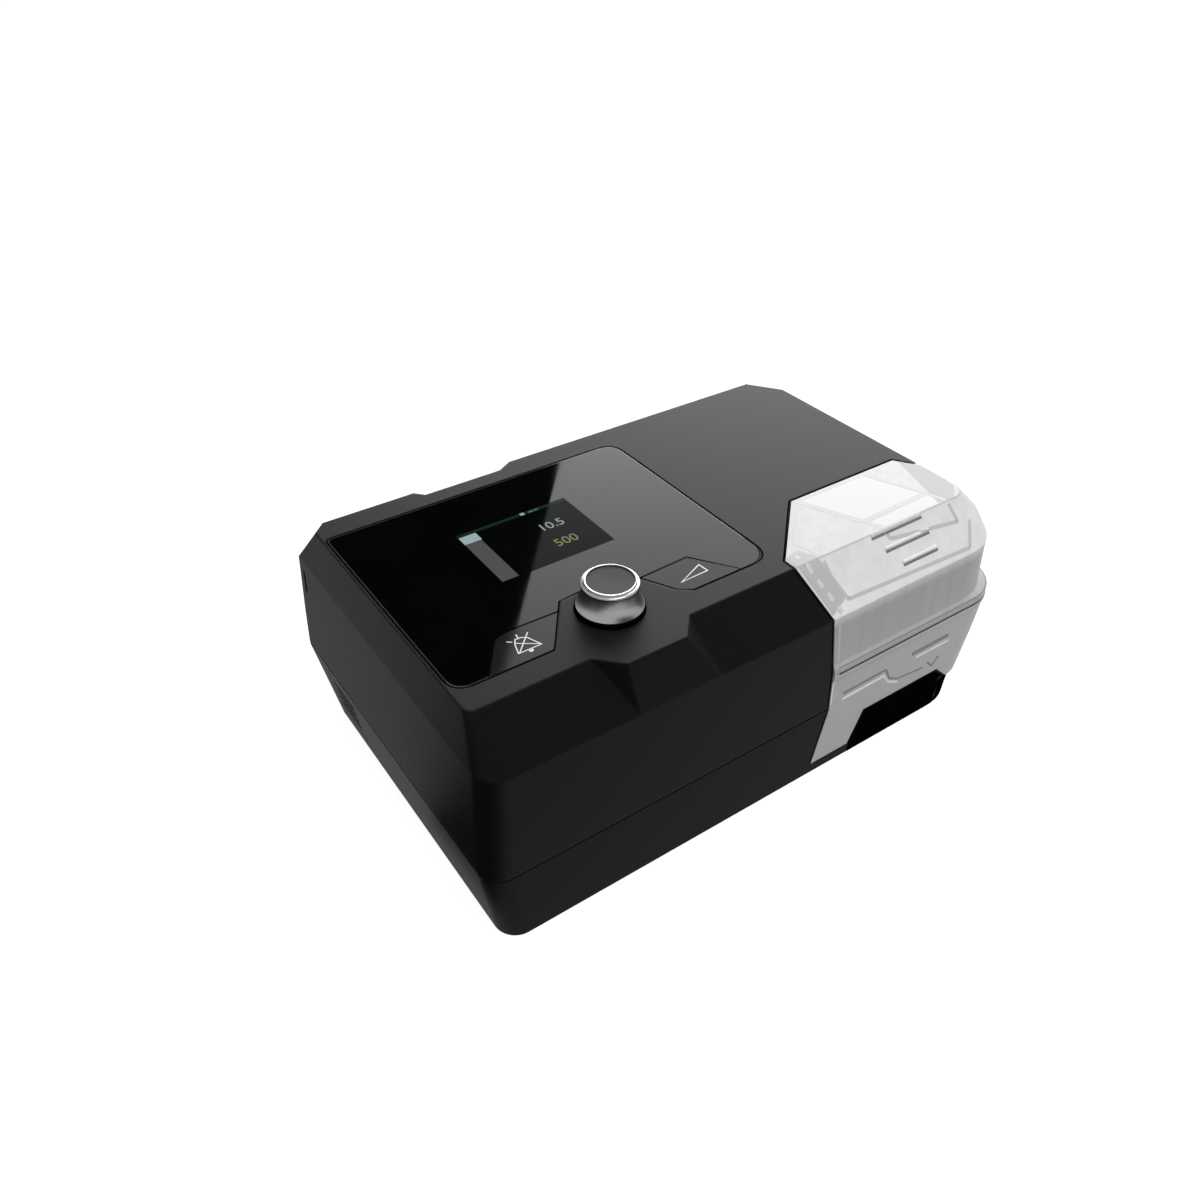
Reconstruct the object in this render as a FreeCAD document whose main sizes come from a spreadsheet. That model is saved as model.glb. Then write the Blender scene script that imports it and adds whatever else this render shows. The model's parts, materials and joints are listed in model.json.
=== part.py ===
import FreeCAD
import Part
import math
import os
import Sketcher
from FreeCAD import Rotation, Vector

# Bedside CPAP machine with a docked water chamber. Millimetres.
# Every piece is drawn in the case frame: x to the right from the left wall, y to the back
# from the front wall, z up from the table. One shift then puts the finished pieces in the
# part frame, whose origin is the bottom centre of the whole machine.

SIZES = {
    # case: widest plan, and the levels at which its walls change slope
    "case_length": 262.0,
    "case_depth": 160.0,
    "floor_level": 1.0,
    "parting_level": 34.5,
    "seam_level": 52.0,
    "crease_level": 81.0,
    "shoulder_level": 90.0,
    "top_level": 101.5,
    "wall": 2.5,
    "roof": 4.0,
    "parting_groove": 0.4,
    # how far each wall stands in from the widest plan at a level
    "floor_left": 6.5,
    "floor_front": 1.6,
    "floor_right": 10.0,
    "floor_back": 14.0,
    "parting_right": 5.0,
    "crease_back": 1.5,
    "shoulder_right": 4.7,
    "top_left": 2.3,
    "top_front": 14.0,
    "top_right": 17.0,
    "top_back": 15.0,
    # upright corners of the case
    "front_left_corner": 9.0,
    "front_right_corner": 26.0,
    "back_left_cut": 1.0,
    "top_back_left_cut": 5.5,
    "back_right_cut_x": 11.0,
    "back_right_cut_y": 15.0,
    "top_front_left_corner": 3.5,
    "top_front_right_corner": 18.0,
    # nose under the knob
    "nose_left": 48.3,
    "nose_tip_left": 59.5,
    "nose_tip_right": 85.2,
    "nose_right": 95.4,
    "nose_front": 4.6,
    "nose_foot_left": 62.0,
    "nose_foot_right": 99.0,
    # notch in the back edge of the roof
    "notch_left": 50.2,
    "notch_right": 92.5,
    "notch_front": 141.0,
    "notch_drop": 12.0,
    "notch_ramp": 4.5,
    # bay for the water chamber; an inset is measured from the right end of the case
    "bay_back": 50.6,
    "bay_side_back": 43.0,
    "bay_left_top_inset": 117.0,
    "bay_left_crease_inset": 107.0,
    "bay_left_seam_inset": 103.7,
    "bay_left_foot_inset": 109.2,
    "bay_slant_x_inset": 117.0,
    "bay_slant_y": 19.7,
    "bay_slant_end_inset": 85.3,
    "bay_corner_start_inset": 24.0,
    "bay_corner_end_inset": 18.8,
    "bay_floor": 5.6,
    "bay_gap": 0.4,
    "platform_left_inset": 87.6,
    "platform_top_left_inset": 80.8,
    "platform_top_right_inset": 36.0,
    "platform_right_inset": 28.4,
    "platform_level": 21.9,
    "platform_shoulder": 14.7,
    # glass, screen and the two caps
    "glass_left": 3.9,
    "glass_right": 142.8,
    "glass_front": 25.2,
    "glass_back": 132.6,
    "glass_thickness": 1.8,
    "glass_corner": 8.0,
    "glass_back_corner": 3.0,
    "reveal": 0.3,
    "screen_left": 47.6,
    "screen_front": 68.7,
    "screen_width": 51.6,
    "screen_height": 37.6,
    "screen_margin": 3.2,
    "switch_side": 6.0,
    "switch_height": 3.2,
    "switch_tip": 1.7,
    "button_travel": 0.6,
    "button_drop_room": 0.8,
    "mute_stem_x": 37.5,
    "ramp_stem_x": 110.5,
    "stem_y": 34.0,
    "stem_radius": 2.0,
    "stem_clearance": 0.4,
    # knob and its encoder
    "knob_x": 72.5,
    "knob_y": 33.8,
    "knob_base_radius": 13.2,
    "knob_waist_radius": 10.7,
    "knob_flare": 8.6,
    "knob_ring_height": 1.4,
    "knob_disc_depth": 2.6,
    "knob_ring_radius": 10.9,
    "knob_disc_radius": 9.0,
    "knob_height": 12.5,
    "knob_gap": 0.9,
    "knob_travel": 0.6,
    "shaft_radius": 3.0,
    "shaft_fit": 0.05,
    "bushing_radius": 4.0,
    # boards
    "board_level": 90.4,
    "board_thickness": 1.6,
    "board_left": 20.0,
    "board_right": 121.0,
    "board_front": 22.0,
    "board_back": 128.0,
    # water chamber
    "chamber_wall": 2.0,
    "lid_gap": 0.2,
    "flange_right_inset": -3.0,
    "flange_front": 0.8,
    "flange_half": 2.5,
    "flange_corner": 22.0,
    "tub_right_inset": 0.0,
    "tub_middle_right_inset": 4.1,
    "tub_foot_right_inset": 14.2,
    "tub_corner": 18.0,
    "tub_neck_level": 47.5,
    "lid_right_inset": 0.0,
    "lid_corner": 26.0,
    "lid_shoulder_corner": 19.0,
    "lid_top_corner": 8.0,
    "gasket_width": 1.2,
    "gasket_depth": 2.0,
    "port_radius": 7.5,
    "port_level": 71.0,
    "inlet_port_x_inset": 70.0,
    "outlet_port_x_inset": 40.0,
    "rib_radius": 0.8,
    # heater
    "heater_left_inset": 75.0,
    "heater_front": 8.0,
    "heater_width": 34.0,
    "heater_depth": 36.0,
    "heater_gap": 0.3,
    "insulator_margin": 2.5,
    "insulator_thickness": 3.0,
    # air outlet and ducts
    "outlet_radius": 11.0,
    "outlet_bore": 9.0,
    "outlet_reach": 12.0,
    "outlet_collar": 1.0,
    "niche_radius": 17.0,
    "niche_depth": 8.5,
    "duct_radius": 10.0,
    "duct_wall": 1.5,
    "duct_bend": 18.0,
    "seal_radius": 12.0,
    "seal_thickness": 2.0,
    # blower
    "blower_x": 88.0,
    "blower_y": 78.0,
    "blower_level": 20.0,
    "blower_half": 16.0,
    "blower_wall": 2.0,
    "scroll_radius": 33.0,
    "scroll_growth": 2.0,
    "scroll_outlet": 16.0,
    "scroll_reach": 46.0,
    "impeller_radius": 29.0,
    "impeller_eye": 12.0,
    "blade_thickness": 1.2,
    "blade_height": 20.0,
    "rotor_radius": 2.0,
    "motor_radius": 18.0,
    "motor_height": 20.0,
    "mount_radius": 5.0,
    # inlet: filter, cover, air box
    "filter_front": 114.0,
    "filter_length": 28.6,
    "filter_bottom": 8.3,
    "filter_height": 22.0,
    "filter_thickness": 5.0,
    "cover_gap": 0.3,
    "cover_thickness": 2.2,
    "louvre_width": 2.0,
    "muffler_left": 13.0,
    "muffler_width": 31.0,
    "muffler_front": 60.0,
    "muffler_back": 141.8,
    "muffler_height": 56.0,
    "muffler_wall": 2.0,
    # sockets
    "dc_x": 118.0,
    "dc_level": 45.0,
    "dc_radius": 6.0,
    "dc_bore": 3.3,
    "dc_block": 14.0,
    "dc_inset": 1.5,
    "card_y": 153.0,
    "card_level": 70.5,
    "card_height": 11.0,
    "card_slot": 1.6,
    # feet and screws
    "front_foot": 40.0,
    "back_foot": 36.0,
    "back_post": 24.0,
    "foot_radius": 7.0,
    "foot_thickness": 2.5,
    "post_radius": 3.5,
    "boss_radius": 4.5,
    "screw_radius": 1.5,
    "screw_head": 2.8,
    "screw_head_height": 2.2,
    "screw_bite": 10.0,
    "board_screw_head": 2.5,
    "board_screw_head_height": 1.8,
    "counterbore": 3.2,
    "counterbore_depth": 8.0,
}

doc = FreeCAD.newDocument("cpap_machine")
sheet = doc.addObject("Spreadsheet::Sheet", "Sizes")
for row, (alias, number) in enumerate(SIZES.items(), start=1):
    sheet.set(f"A{row}", alias)
    sheet.set(f"B{row}", str(number))
    sheet.setAlias(f"B{row}", alias)
doc.recompute()


class Size:
    """A length as the formula that binds it to the sheet, and its present number."""

    def __init__(self, formula, number):
        self.formula = formula
        self.number = number

    @staticmethod
    def of(value):
        return value if isinstance(value, Size) else Size(f"{value:.6g}", float(value))

    def __add__(self, other):
        other = Size.of(other)
        return Size(f"({self.formula} + {other.formula})", self.number + other.number)

    def __radd__(self, other):
        return Size.of(other) + self

    def __sub__(self, other):
        other = Size.of(other)
        return Size(f"({self.formula} - {other.formula})", self.number - other.number)

    def __rsub__(self, other):
        return Size.of(other) - self

    def __mul__(self, other):
        other = Size.of(other)
        return Size(f"({self.formula} * {other.formula})", self.number * other.number)

    def __rmul__(self, other):
        return Size.of(other) * self

    def __truediv__(self, other):
        other = Size.of(other)
        return Size(f"({self.formula} / {other.formula})", self.number / other.number)

    def __neg__(self):
        return Size.of(0) - self


class Named:
    """Reads a size from the sheet by its alias, as in s.wall; an inset is read from the right end."""

    def __getattr__(self, alias):
        inset = f"{alias}_inset"
        if inset in SIZES:
            return self.case_length - Size(f"Sizes.{inset}", float(sheet.get(inset)))
        return Size(f"Sizes.{alias}", float(sheet.get(alias)))


s = Named()
C = Sketcher.Constraint
START, END = 1, 2

# ---------------------------------------------------------------- building blocks


def bind(thing, prop, value):
    """Sets a property and ties it to the sheet."""
    value = Size.of(value)
    if not prop.startswith("."):
        setattr(thing, prop, value.number)
    if "Sizes" in value.formula or prop.startswith("."):
        thing.setExpression(prop, value.formula)


def seat(thing, x=0, y=0, z=0):
    """Ties where an object stands to the sheet."""
    for axis, value in zip("xyz", (x, y, z)):
        bind(thing, f".Placement.Base.{axis}", value)
    return thing


def origin_plane(body, role):
    return next(plane for plane in body.Origin.OriginFeatures if plane.Role == role)


def new_sketch(body, role, level):
    sketch = body.newObject("Sketcher::SketchObject", "Sketch")
    sketch.AttachmentSupport = [(origin_plane(body, role), "")]
    sketch.MapMode = "FlatFace"
    level = Size.of(level)
    sketch.AttachmentOffset = FreeCAD.Placement(Vector(0, 0, level.number), Rotation())
    bind(sketch, ".AttachmentOffset.Base.z", level)
    return sketch


def constrain(sketch, rules):
    """Adds rules (constraint, size or None) and binds the dimensions among them."""
    sketch.addConstraint([rule for rule, _ in rules])
    for number, (_, value) in enumerate(rules):
        if value is not None and "Sizes" in value.formula:
            sketch.setExpression(f"Constraints[{number}]", value.formula)


def pin(rules, geometry, place, x, y):
    """Holds one point of a sketch at x, y."""
    rules.append((C("DistanceX", geometry, place, x.number), x))
    rules.append((C("DistanceY", geometry, place, y.number), y))


def outline(body, role, level, corners):
    """Closed sketch through corners (x, y) or, where rounded, (x, y, radius)."""
    sketch = new_sketch(body, role, level)
    spots = [[Size.of(value) for value in corner] for corner in corners]
    count = len(spots)
    tips = [Vector(spot[0].number, spot[1].number, 0) for spot in spots]
    entry, leave, arcs, ends = list(tips), list(tips), {}, {}
    for i, spot in enumerate(spots):
        if len(spot) < 3:
            continue
        back = (tips[i - 1] - tips[i]).normalize()
        ahead = (tips[(i + 1) % count] - tips[i]).normalize()
        half = back.getAngle(ahead) / 2
        entry[i] = tips[i] + back * (spot[2].number / math.tan(half))
        leave[i] = tips[i] + ahead * (spot[2].number / math.tan(half))
        centre = tips[i] + (back + ahead).normalize() * (spot[2].number / math.sin(half))
        left_turn = ahead.cross(back).z > 0
        first, last = (entry[i], leave[i]) if left_turn else (leave[i], entry[i])
        ends[i] = (START, END) if left_turn else (END, START)
        angles = [math.atan2(point.y - centre.y, point.x - centre.x) for point in (first, last)]
        if angles[1] < angles[0]:
            angles[1] += 2 * math.pi
        circle = Part.Circle(centre, Vector(0, 0, 1), spot[2].number)
        arcs[i] = Part.ArcOfCircle(circle, *angles)
    shapes = [Part.LineSegment(leave[i], entry[(i + 1) % count]) for i in range(count)]
    arc_at = {i: count + k for k, i in enumerate(arcs)}
    tip_at = {i: count + len(arcs) + k for k, i in enumerate(arcs)}
    shapes += list(arcs.values()) + [Part.Point(tips[i]) for i in arcs]
    sketch.addGeometry(shapes, False)
    rules = []
    for i, spot in enumerate(spots):
        before, after = (i - 1) % count, i
        if i not in arcs:
            rules.append((C("Coincident", before, END, after, START), None))
            pin(rules, after, START, spot[0], spot[1])
            continue
        arc, tip = arc_at[i], tip_at[i]
        sketch.setConstruction(tip, True)
        near, far = ends[i]
        rules.append((C("Tangent", before, END, arc, near), None))
        rules.append((C("Tangent", arc, far, after, START), None))
        rules.append((C("PointOnObject", tip, START, before), None))
        rules.append((C("PointOnObject", tip, START, after), None))
        rules.append((C("Radius", arc, spot[2].number), spot[2]))
        pin(rules, tip, START, spot[0], spot[1])
    constrain(sketch, rules)
    return sketch


def new_body(label):
    body = doc.addObject("PartDesign::Body", label)
    body.Label = label
    return body


def extrude(body, kind, sketch, length, backwards=False):
    """Pad or Pocket of one sketch."""
    feature = body.newObject(f"PartDesign::{kind}", kind)
    feature.Profile = sketch
    bind(feature, "Length", length)
    feature.Reversed = backwards
    return feature


def ruled_loft(body, sections):
    """Straight-sided skin through closed sketches, one above the other."""
    loft = body.newObject("PartDesign::AdditiveLoft", "Loft")
    loft.Profile = sections[0]
    loft.Sections = sections[1:]
    loft.Ruled = True
    return loft


def lathe(label, profile, x=0, y=0, z=0):
    """Body of revolution about z from corners (radius, height)."""
    body = new_body(label)
    sketch = outline(body, "XZ_Plane", 0, profile)
    turn = body.newObject("PartDesign::Revolution", "Revolution")
    turn.Profile = sketch
    turn.ReferenceAxis = (sketch, ["V_Axis"])
    turn.Angle = 360
    return seat(body, x, y, z)


def box(label, low, size):
    """Block from its low corner and its three lengths."""
    block = doc.addObject("Part::Box", label)
    for prop, value in zip(("Length", "Width", "Height"), size):
        bind(block, prop, value)
    return seat(block, *low)


TURNED = {"z": Rotation(), "y": Rotation(Vector(1, 0, 0), -90), "x": Rotation(Vector(0, 1, 0), 90)}


def rod(label, foot, radius, length, along="z"):
    """Cylinder from the centre of one end, running along +x, +y or +z."""
    cylinder = doc.addObject("Part::Cylinder", label)
    bind(cylinder, "Radius", radius)
    bind(cylinder, "Height", length)
    cylinder.Placement.Rotation = TURNED[along]
    return seat(cylinder, *foot)


def fuse(label, pieces):
    joined = doc.addObject("Part::MultiFuse", label)
    joined.Shapes = pieces
    joined.Refine = True
    joined.Label = label
    return joined


def group(label, pieces):
    """Separate solids kept as one sub-part."""
    together = doc.addObject("Part::Compound", label)
    together.Links = pieces
    together.Label = label
    return together


def common(label, first, second):
    shared = doc.addObject("Part::Common", label)
    shared.Base = first
    shared.Tool = second
    shared.Refine = True
    shared.Label = label
    return shared


def cut(label, base, tools):
    removed = tools[0] if len(tools) == 1 else fuse(f"{label}_tools", tools)
    left = doc.addObject("Part::Cut", label)
    left.Base = base
    left.Tool = removed
    left.Refine = True
    left.Label = label
    return left


FINISHED = []


def finish(piece):
    """Marks a sub-part as finished; its object name and label are the node's name."""
    FINISHED.append(piece)
    return piece


# ---------------------------------------------------------------- the case's outer form

# A level is (height, left, front, right, back, front left radius, front right radius, back left
# cut); left, front, right and back are how far each wall stands in from the widest plan.


part_up = (s.shoulder_level - s.crease_level) / (s.top_level - s.crease_level)


def case_level(name):
    corner, wide, sharp = s.front_left_corner, s.front_right_corner, s.back_left_cut
    levels = {
        "floor": (s.floor_level, s.floor_left, s.floor_front, s.floor_right, s.floor_back,
                  corner, wide, sharp),
        "parting": (s.parting_level, 0, 0, s.parting_right, 0, corner, wide, sharp),
        "seam": (s.seam_level, 0, 0, 0, 0, corner, wide, sharp),
        "crease": (s.crease_level, 0, 0, 0, s.crease_back, corner, wide, sharp),
        "shoulder": (s.shoulder_level, s.top_left * part_up, s.top_front * part_up, s.shoulder_right,
                     s.crease_back + (s.top_back - s.crease_back) * part_up,
                     corner - (corner - s.top_front_left_corner) * part_up,
                     wide - (wide - s.top_front_right_corner) * part_up,
                     sharp + (s.top_back_left_cut - sharp) * part_up),
        "top": (s.top_level, s.top_left, s.top_front, s.top_right, s.top_back,
                s.top_front_left_corner, s.top_front_right_corner, s.top_back_left_cut),
    }
    return levels[name]


def case_section(body, name, inset=0, height=None):
    """Plan of the case at a level, drawn in by inset, at another height if one is given."""
    level, left, front, right, back, small, large, left_cut = case_level(name)
    x0, y0 = Size.of(left) + inset, Size.of(front) + inset
    x1 = s.case_length - right - inset
    y1 = s.case_depth - back - inset
    corners = [
        (x0, y0, small), (x1, y0, large),
        (x1, y1 - s.back_right_cut_y), (x1 - s.back_right_cut_x, y1),
        (x0 + left_cut, y1), (x0, y1 - left_cut),
    ]
    return outline(body, "XY_Plane", level if height is None else height, corners)


BEYOND = 20.0          # how far cutting tools run past the skin they cut
MITRE_SLANT = 0.41     # how far the bay's slanted corner moves along x per millimetre of growth
MITRE_CORNER = 0.53    # the same for the two blunt corners at its right end
SLANT_X, SLANT_Y = 0.698, 0.716   # outward normal of the slanted wall


def bay(label, grow=0):
    """Space of the water chamber, grown outwards by grow: a front profile and a plan in common."""
    front = new_body(f"{label}_front")
    low = s.bay_floor - grow
    rise = BEYOND / 2
    slope = (s.bay_left_crease - s.bay_left_top) / (s.top_level - s.crease_level)
    profile = [
        (s.bay_left_foot - grow, low),
        (s.platform_left + grow, low),
        (s.platform_top_left + grow, s.platform_level - grow),
        (s.platform_top_right - grow, s.platform_level - grow),
        (s.platform_right - grow, s.platform_shoulder - grow),
        (s.case_length + BEYOND, s.platform_shoulder - grow),
        (s.case_length + BEYOND, s.top_level + rise),
        (s.bay_left_top - grow - slope * rise, s.top_level + rise),
        (s.bay_left_crease - grow, s.crease_level),
        (s.bay_left_seam - grow, s.seam_level),
        (s.bay_left_seam - grow, s.parting_level - 2),
    ]
    extrude(front, "Pad", outline(front, "XZ_Plane", BEYOND, profile), s.case_depth, True)
    plan = new_body(f"{label}_plan")
    run_x, run_y = s.bay_slant_end - s.bay_slant_x, s.bay_back - s.bay_slant_y
    start_x = s.bay_slant_x - SLANT_X * grow
    start_y = s.bay_slant_y + SLANT_Y * grow
    corners = [
        (start_x - run_x, start_y - run_y),
        (s.case_length + BEYOND, start_y - run_y),
        (s.case_length + BEYOND, s.bay_side_back + grow),
        (s.bay_corner_end + MITRE_CORNER * grow, s.bay_side_back + grow),
        (s.bay_corner_start + MITRE_CORNER * grow, s.bay_back + grow),
        (s.bay_slant_end - MITRE_SLANT * grow, s.bay_back + grow),
    ]
    extrude(plan, "Pad", outline(plan, "XY_Plane", -BEYOND, corners), s.top_level + 2 * BEYOND)
    return common(label, front, plan)


bay_space = bay("bay_space")
bay_wall_space = bay("bay_wall_space", s.wall)

duct_axis_y = s.blower_y + s.scroll_radius + 4 * s.scroll_growth - s.scroll_outlet / 2
POSTS = [
    (s.floor_left + 8, s.floor_front + 20),
    (s.bay_left_foot - 15, s.floor_front + 19),
    (s.muffler_left + s.muffler_width + 10, s.case_depth - s.floor_back - 12.5),
    (s.bay_left_foot, duct_axis_y + s.duct_radius + s.boss_radius + 0.5),
    (s.case_length - s.back_post, s.case_depth - s.floor_back - 20),
]
BOARD_POSTS = [(s.board_left + dx, s.board_front + dy) for dx, dy in (
    (5, 6), (s.board_right - s.board_left - 5, 6),
    (5, s.board_back - s.board_front - 6),
    (s.board_right - s.board_left - 5, s.board_back - s.board_front - 6))]


def notch(label, grow=0):
    """Shallow bay in the back edge of the roof, grown outwards by grow."""
    body = new_body(label)
    low = s.notch_drop + grow
    back, ramp = s.case_depth + grow, s.notch_front + s.notch_ramp - grow
    left, right = s.notch_left - 2 - grow, s.notch_right + 4 + grow
    corners = [
        (left, back), (left, ramp), (s.notch_left + 2, s.notch_front - grow),
        (s.notch_right - 4, s.notch_front - grow), (right, ramp), (right, back),
    ]
    extrude(body, "Pad", outline(body, "XY_Plane", s.top_level - low, corners), low + BEYOND)
    return body


board_top = s.board_level + s.board_thickness
ceiling = s.top_level - s.roof
niche_floor = s.case_depth - s.crease_back - s.niche_depth
stem_hole = s.stem_radius + s.stem_clearance
STEM_PROUD = 0.3   # how far a cap's stem stands out below the ceiling
MUTE_STEM = (s.mute_stem_x, s.stem_y)
RAMP_STEM = (s.ramp_stem_x, s.stem_y)


# ---------------------------------------------------------------- glass and cap outlines


def glass_outline(body, level):
    """Panel with a notch round the knob in its front edge."""
    notch_left = s.knob_x - s.knob_base_radius
    notch_back = s.knob_y + s.knob_base_radius
    corners = [
        (s.glass_left, s.glass_front, s.glass_corner),
        (s.knob_x - 29.5, s.glass_front),
        (notch_left, notch_back, 2),
        (s.knob_x, notch_back + 0.8),
        (s.knob_x + 19.5, s.knob_y + 8),
        (s.knob_x + 26.5, s.knob_y - 5),
        (s.knob_x + 32, s.glass_front),
        (s.glass_right, s.glass_front, s.glass_corner + 2),
        (s.glass_right, s.glass_back, s.glass_corner),
        (s.glass_left, s.glass_back, s.glass_back_corner),
    ]
    return outline(body, "XY_Plane", level, corners)


def mute_outline(body, level):
    front = s.glass_front - 4
    corners = [
        (s.knob_x - 58, front), (s.knob_x - 8, front), (s.knob_x - 8, s.knob_y + 8.2),
        (s.knob_x - 38.5, s.knob_y + 9, 1.5), (s.knob_x - 44, s.knob_y + 7.8, 1.5),
        (s.knob_x - 55.2, s.knob_y - 8),
    ]
    return outline(body, "XY_Plane", level, corners)


def ramp_outline(body, level):
    front = s.glass_front - 4
    corners = [
        (s.knob_x + 15, front), (s.knob_x + 58.3, front),
        (s.knob_x + 42.8, s.knob_y + 9, 1.5), (s.knob_x + 15, s.knob_y + 8.2),
    ]
    return outline(body, "XY_Plane", level, corners)


def prism(label, draw, low, height, reveal=None):
    """Upright plate on an outline, drawn in by reveal on every side if one is given."""
    body = new_body(f"{label}_form")
    sketch = draw(body, low)
    if reveal is None:
        extrude(body, "Pad", sketch, height)
        return body
    inner = doc.addObject("Part::Offset2D", f"{label}_outline")
    inner.Source = sketch
    inner.Join = 2
    bind(inner, "Value", -reveal)
    plate = doc.addObject("Part::Extrusion", label)
    plate.Base = inner
    plate.DirMode = "Normal"
    plate.Solid = True
    bind(plate, "LengthFwd", height)
    return plate


glass_bottom = s.top_level - s.glass_thickness
LID_OFF = 5.0   # how far upward cuts run past the roof

# ---------------------------------------------------------------- upper shell


def upper_hollow(label):
    """Room under the roof, inside the outer walls."""
    hollow = new_body(label)
    ruled_loft(hollow, [
        case_section(hollow, "parting", s.wall),
        case_section(hollow, "seam", s.wall),
        case_section(hollow, "crease", s.wall),
        case_section(hollow, "shoulder", s.wall),
        case_section(hollow, "top", s.wall, ceiling),
    ])
    return hollow


def make_bay_liner():
    """Walls of the bay, a moulding of its own behind the cut-out of the upper shell."""
    cuts = [bay_space]
    for x in (s.inlet_port_x, s.outlet_port_x):
        cuts.append(rod("port_hole", (x, s.bay_back - 1, s.port_level), s.port_radius + 1, s.wall + 2, "y"))
        cuts.append(rod("seal_seat", (x, s.bay_back - 1, s.port_level), s.seal_radius + s.reveal,
                        s.seal_thickness + 1 - 0.1, "y"))
    return finish(cut("bay_liner", common("liner_block", bay_wall_space, upper_hollow("liner_hollow")), cuts))


def make_pillars():
    """Posts between the bosses of the lower shell and the roof, each with a screw pilot."""
    pillars = []
    for x, y in POSTS:
        pillars.append(cut("pillar", rod("pillar_rod", (x, y, s.parting_level), s.post_radius,
                                         ceiling - s.parting_level),
                           [rod("pillar_pilot", (x, y, s.parting_level - 1), s.screw_radius, 13)]))
    finish(group("case_pillars", pillars))


def make_outlet_niche():
    """Round cup in the back wall that the hose outlet stands in."""
    axis = (s.outlet_port_x, niche_floor - s.wall, s.port_level)
    cup = common("niche_block", rod("niche_wall", axis, s.niche_radius + s.wall, s.case_depth, "y"),
                 upper_hollow("niche_hollow"))
    return finish(cut("outlet_niche", cup, [
        rod("niche_room", (s.outlet_port_x, niche_floor, s.port_level), s.niche_radius, s.case_depth, "y"),
        rod("outlet_hole", (s.outlet_port_x, niche_floor - s.wall - 1, s.port_level),
            s.outlet_radius + s.outlet_collar + s.reveal, s.wall + 2, "y")]))


def make_upper_shell():
    skin = new_body("upper_skin")
    groove = s.parting_groove
    ruled_loft(skin, [
        case_section(skin, "parting", groove),
        case_section(skin, "parting", 0, s.parting_level + groove),
        case_section(skin, "seam"),
        case_section(skin, "crease"),
        case_section(skin, "shoulder"),
        case_section(skin, "top"),
    ])
    inside = s.top_front + 2
    ruled_loft(skin, [
        outline(skin, "XY_Plane", s.crease_level, [
            (s.nose_left, inside), (s.nose_foot_left, 0), (s.nose_foot_right, 0),
            (s.nose_right + s.nose_foot_right - s.nose_tip_right, inside)]),
        outline(skin, "XY_Plane", s.top_level, [
            (s.nose_left, inside), (s.nose_tip_left, s.nose_front),
            (s.nose_tip_right, s.nose_front), (s.nose_right, inside)]),
    ])
    hollow = upper_hollow("upper_hollow")
    kept = [notch("notch_wall", s.wall)]
    for x, y in BOARD_POSTS:
        kept.append(rod("board_post", (x, y, board_top), s.post_radius, s.roof + 4))
    gap = s.reveal
    cuts = [
        cut("upper_space", hollow, kept),
        bay_space,
        prism("glass_recess", glass_outline, glass_bottom, s.glass_thickness + LID_OFF),
        common("mute_well", prism("mute_deep", mute_outline, glass_bottom - s.button_drop_room, LID_OFF),
               prism("glass_deep", glass_outline, glass_bottom - s.button_drop_room, LID_OFF)),
        common("ramp_well", prism("ramp_deep", ramp_outline, glass_bottom - s.button_drop_room, LID_OFF),
               prism("glass_deep_too", glass_outline, glass_bottom - s.button_drop_room, LID_OFF)),
        box("screen_hole", (s.screen_left - gap, s.screen_front - gap, ceiling - 1),
            (s.screen_width + 2 * gap, s.screen_height + 2 * gap, s.roof)),
        rod("bushing_hole", (s.knob_x, s.knob_y, ceiling - 1), s.bushing_radius + gap, s.roof + LID_OFF),
        rod("mute_hole", (*MUTE_STEM, ceiling - 1), stem_hole, s.roof),
        rod("ramp_hole", (*RAMP_STEM, ceiling - 1), stem_hole, s.roof),
        rod("niche", (s.outlet_port_x, niche_floor, s.port_level), s.niche_radius, s.case_depth, "y"),
        rod("dc_hole", (s.dc_x, s.case_depth - 3 * s.wall, s.dc_level), s.dc_radius + gap, BEYOND, "y"),
        box("card_hole", (-s.wall, s.card_y - s.card_slot / 2, s.card_level - s.card_height / 2),
            (3 * s.wall, s.card_slot, s.card_height)),
    ]
    for x, y in BOARD_POSTS:
        cuts.append(rod("board_pilot", (x, y, board_top - 1), s.screw_radius - 0.2, s.roof + 2))
    cuts.append(notch("back_notch"))
    return finish(cut("upper_shell", skin, cuts))


# ---------------------------------------------------------------- lower shell

FEET = [
    (s.floor_left + 26, s.floor_front + 18),
    (s.floor_left + 16, s.case_depth - s.floor_back - 16),
    (s.case_length - s.front_foot, s.floor_front + 22),
    (s.case_length - s.back_foot, s.case_depth - s.floor_back - 28),
]


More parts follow.
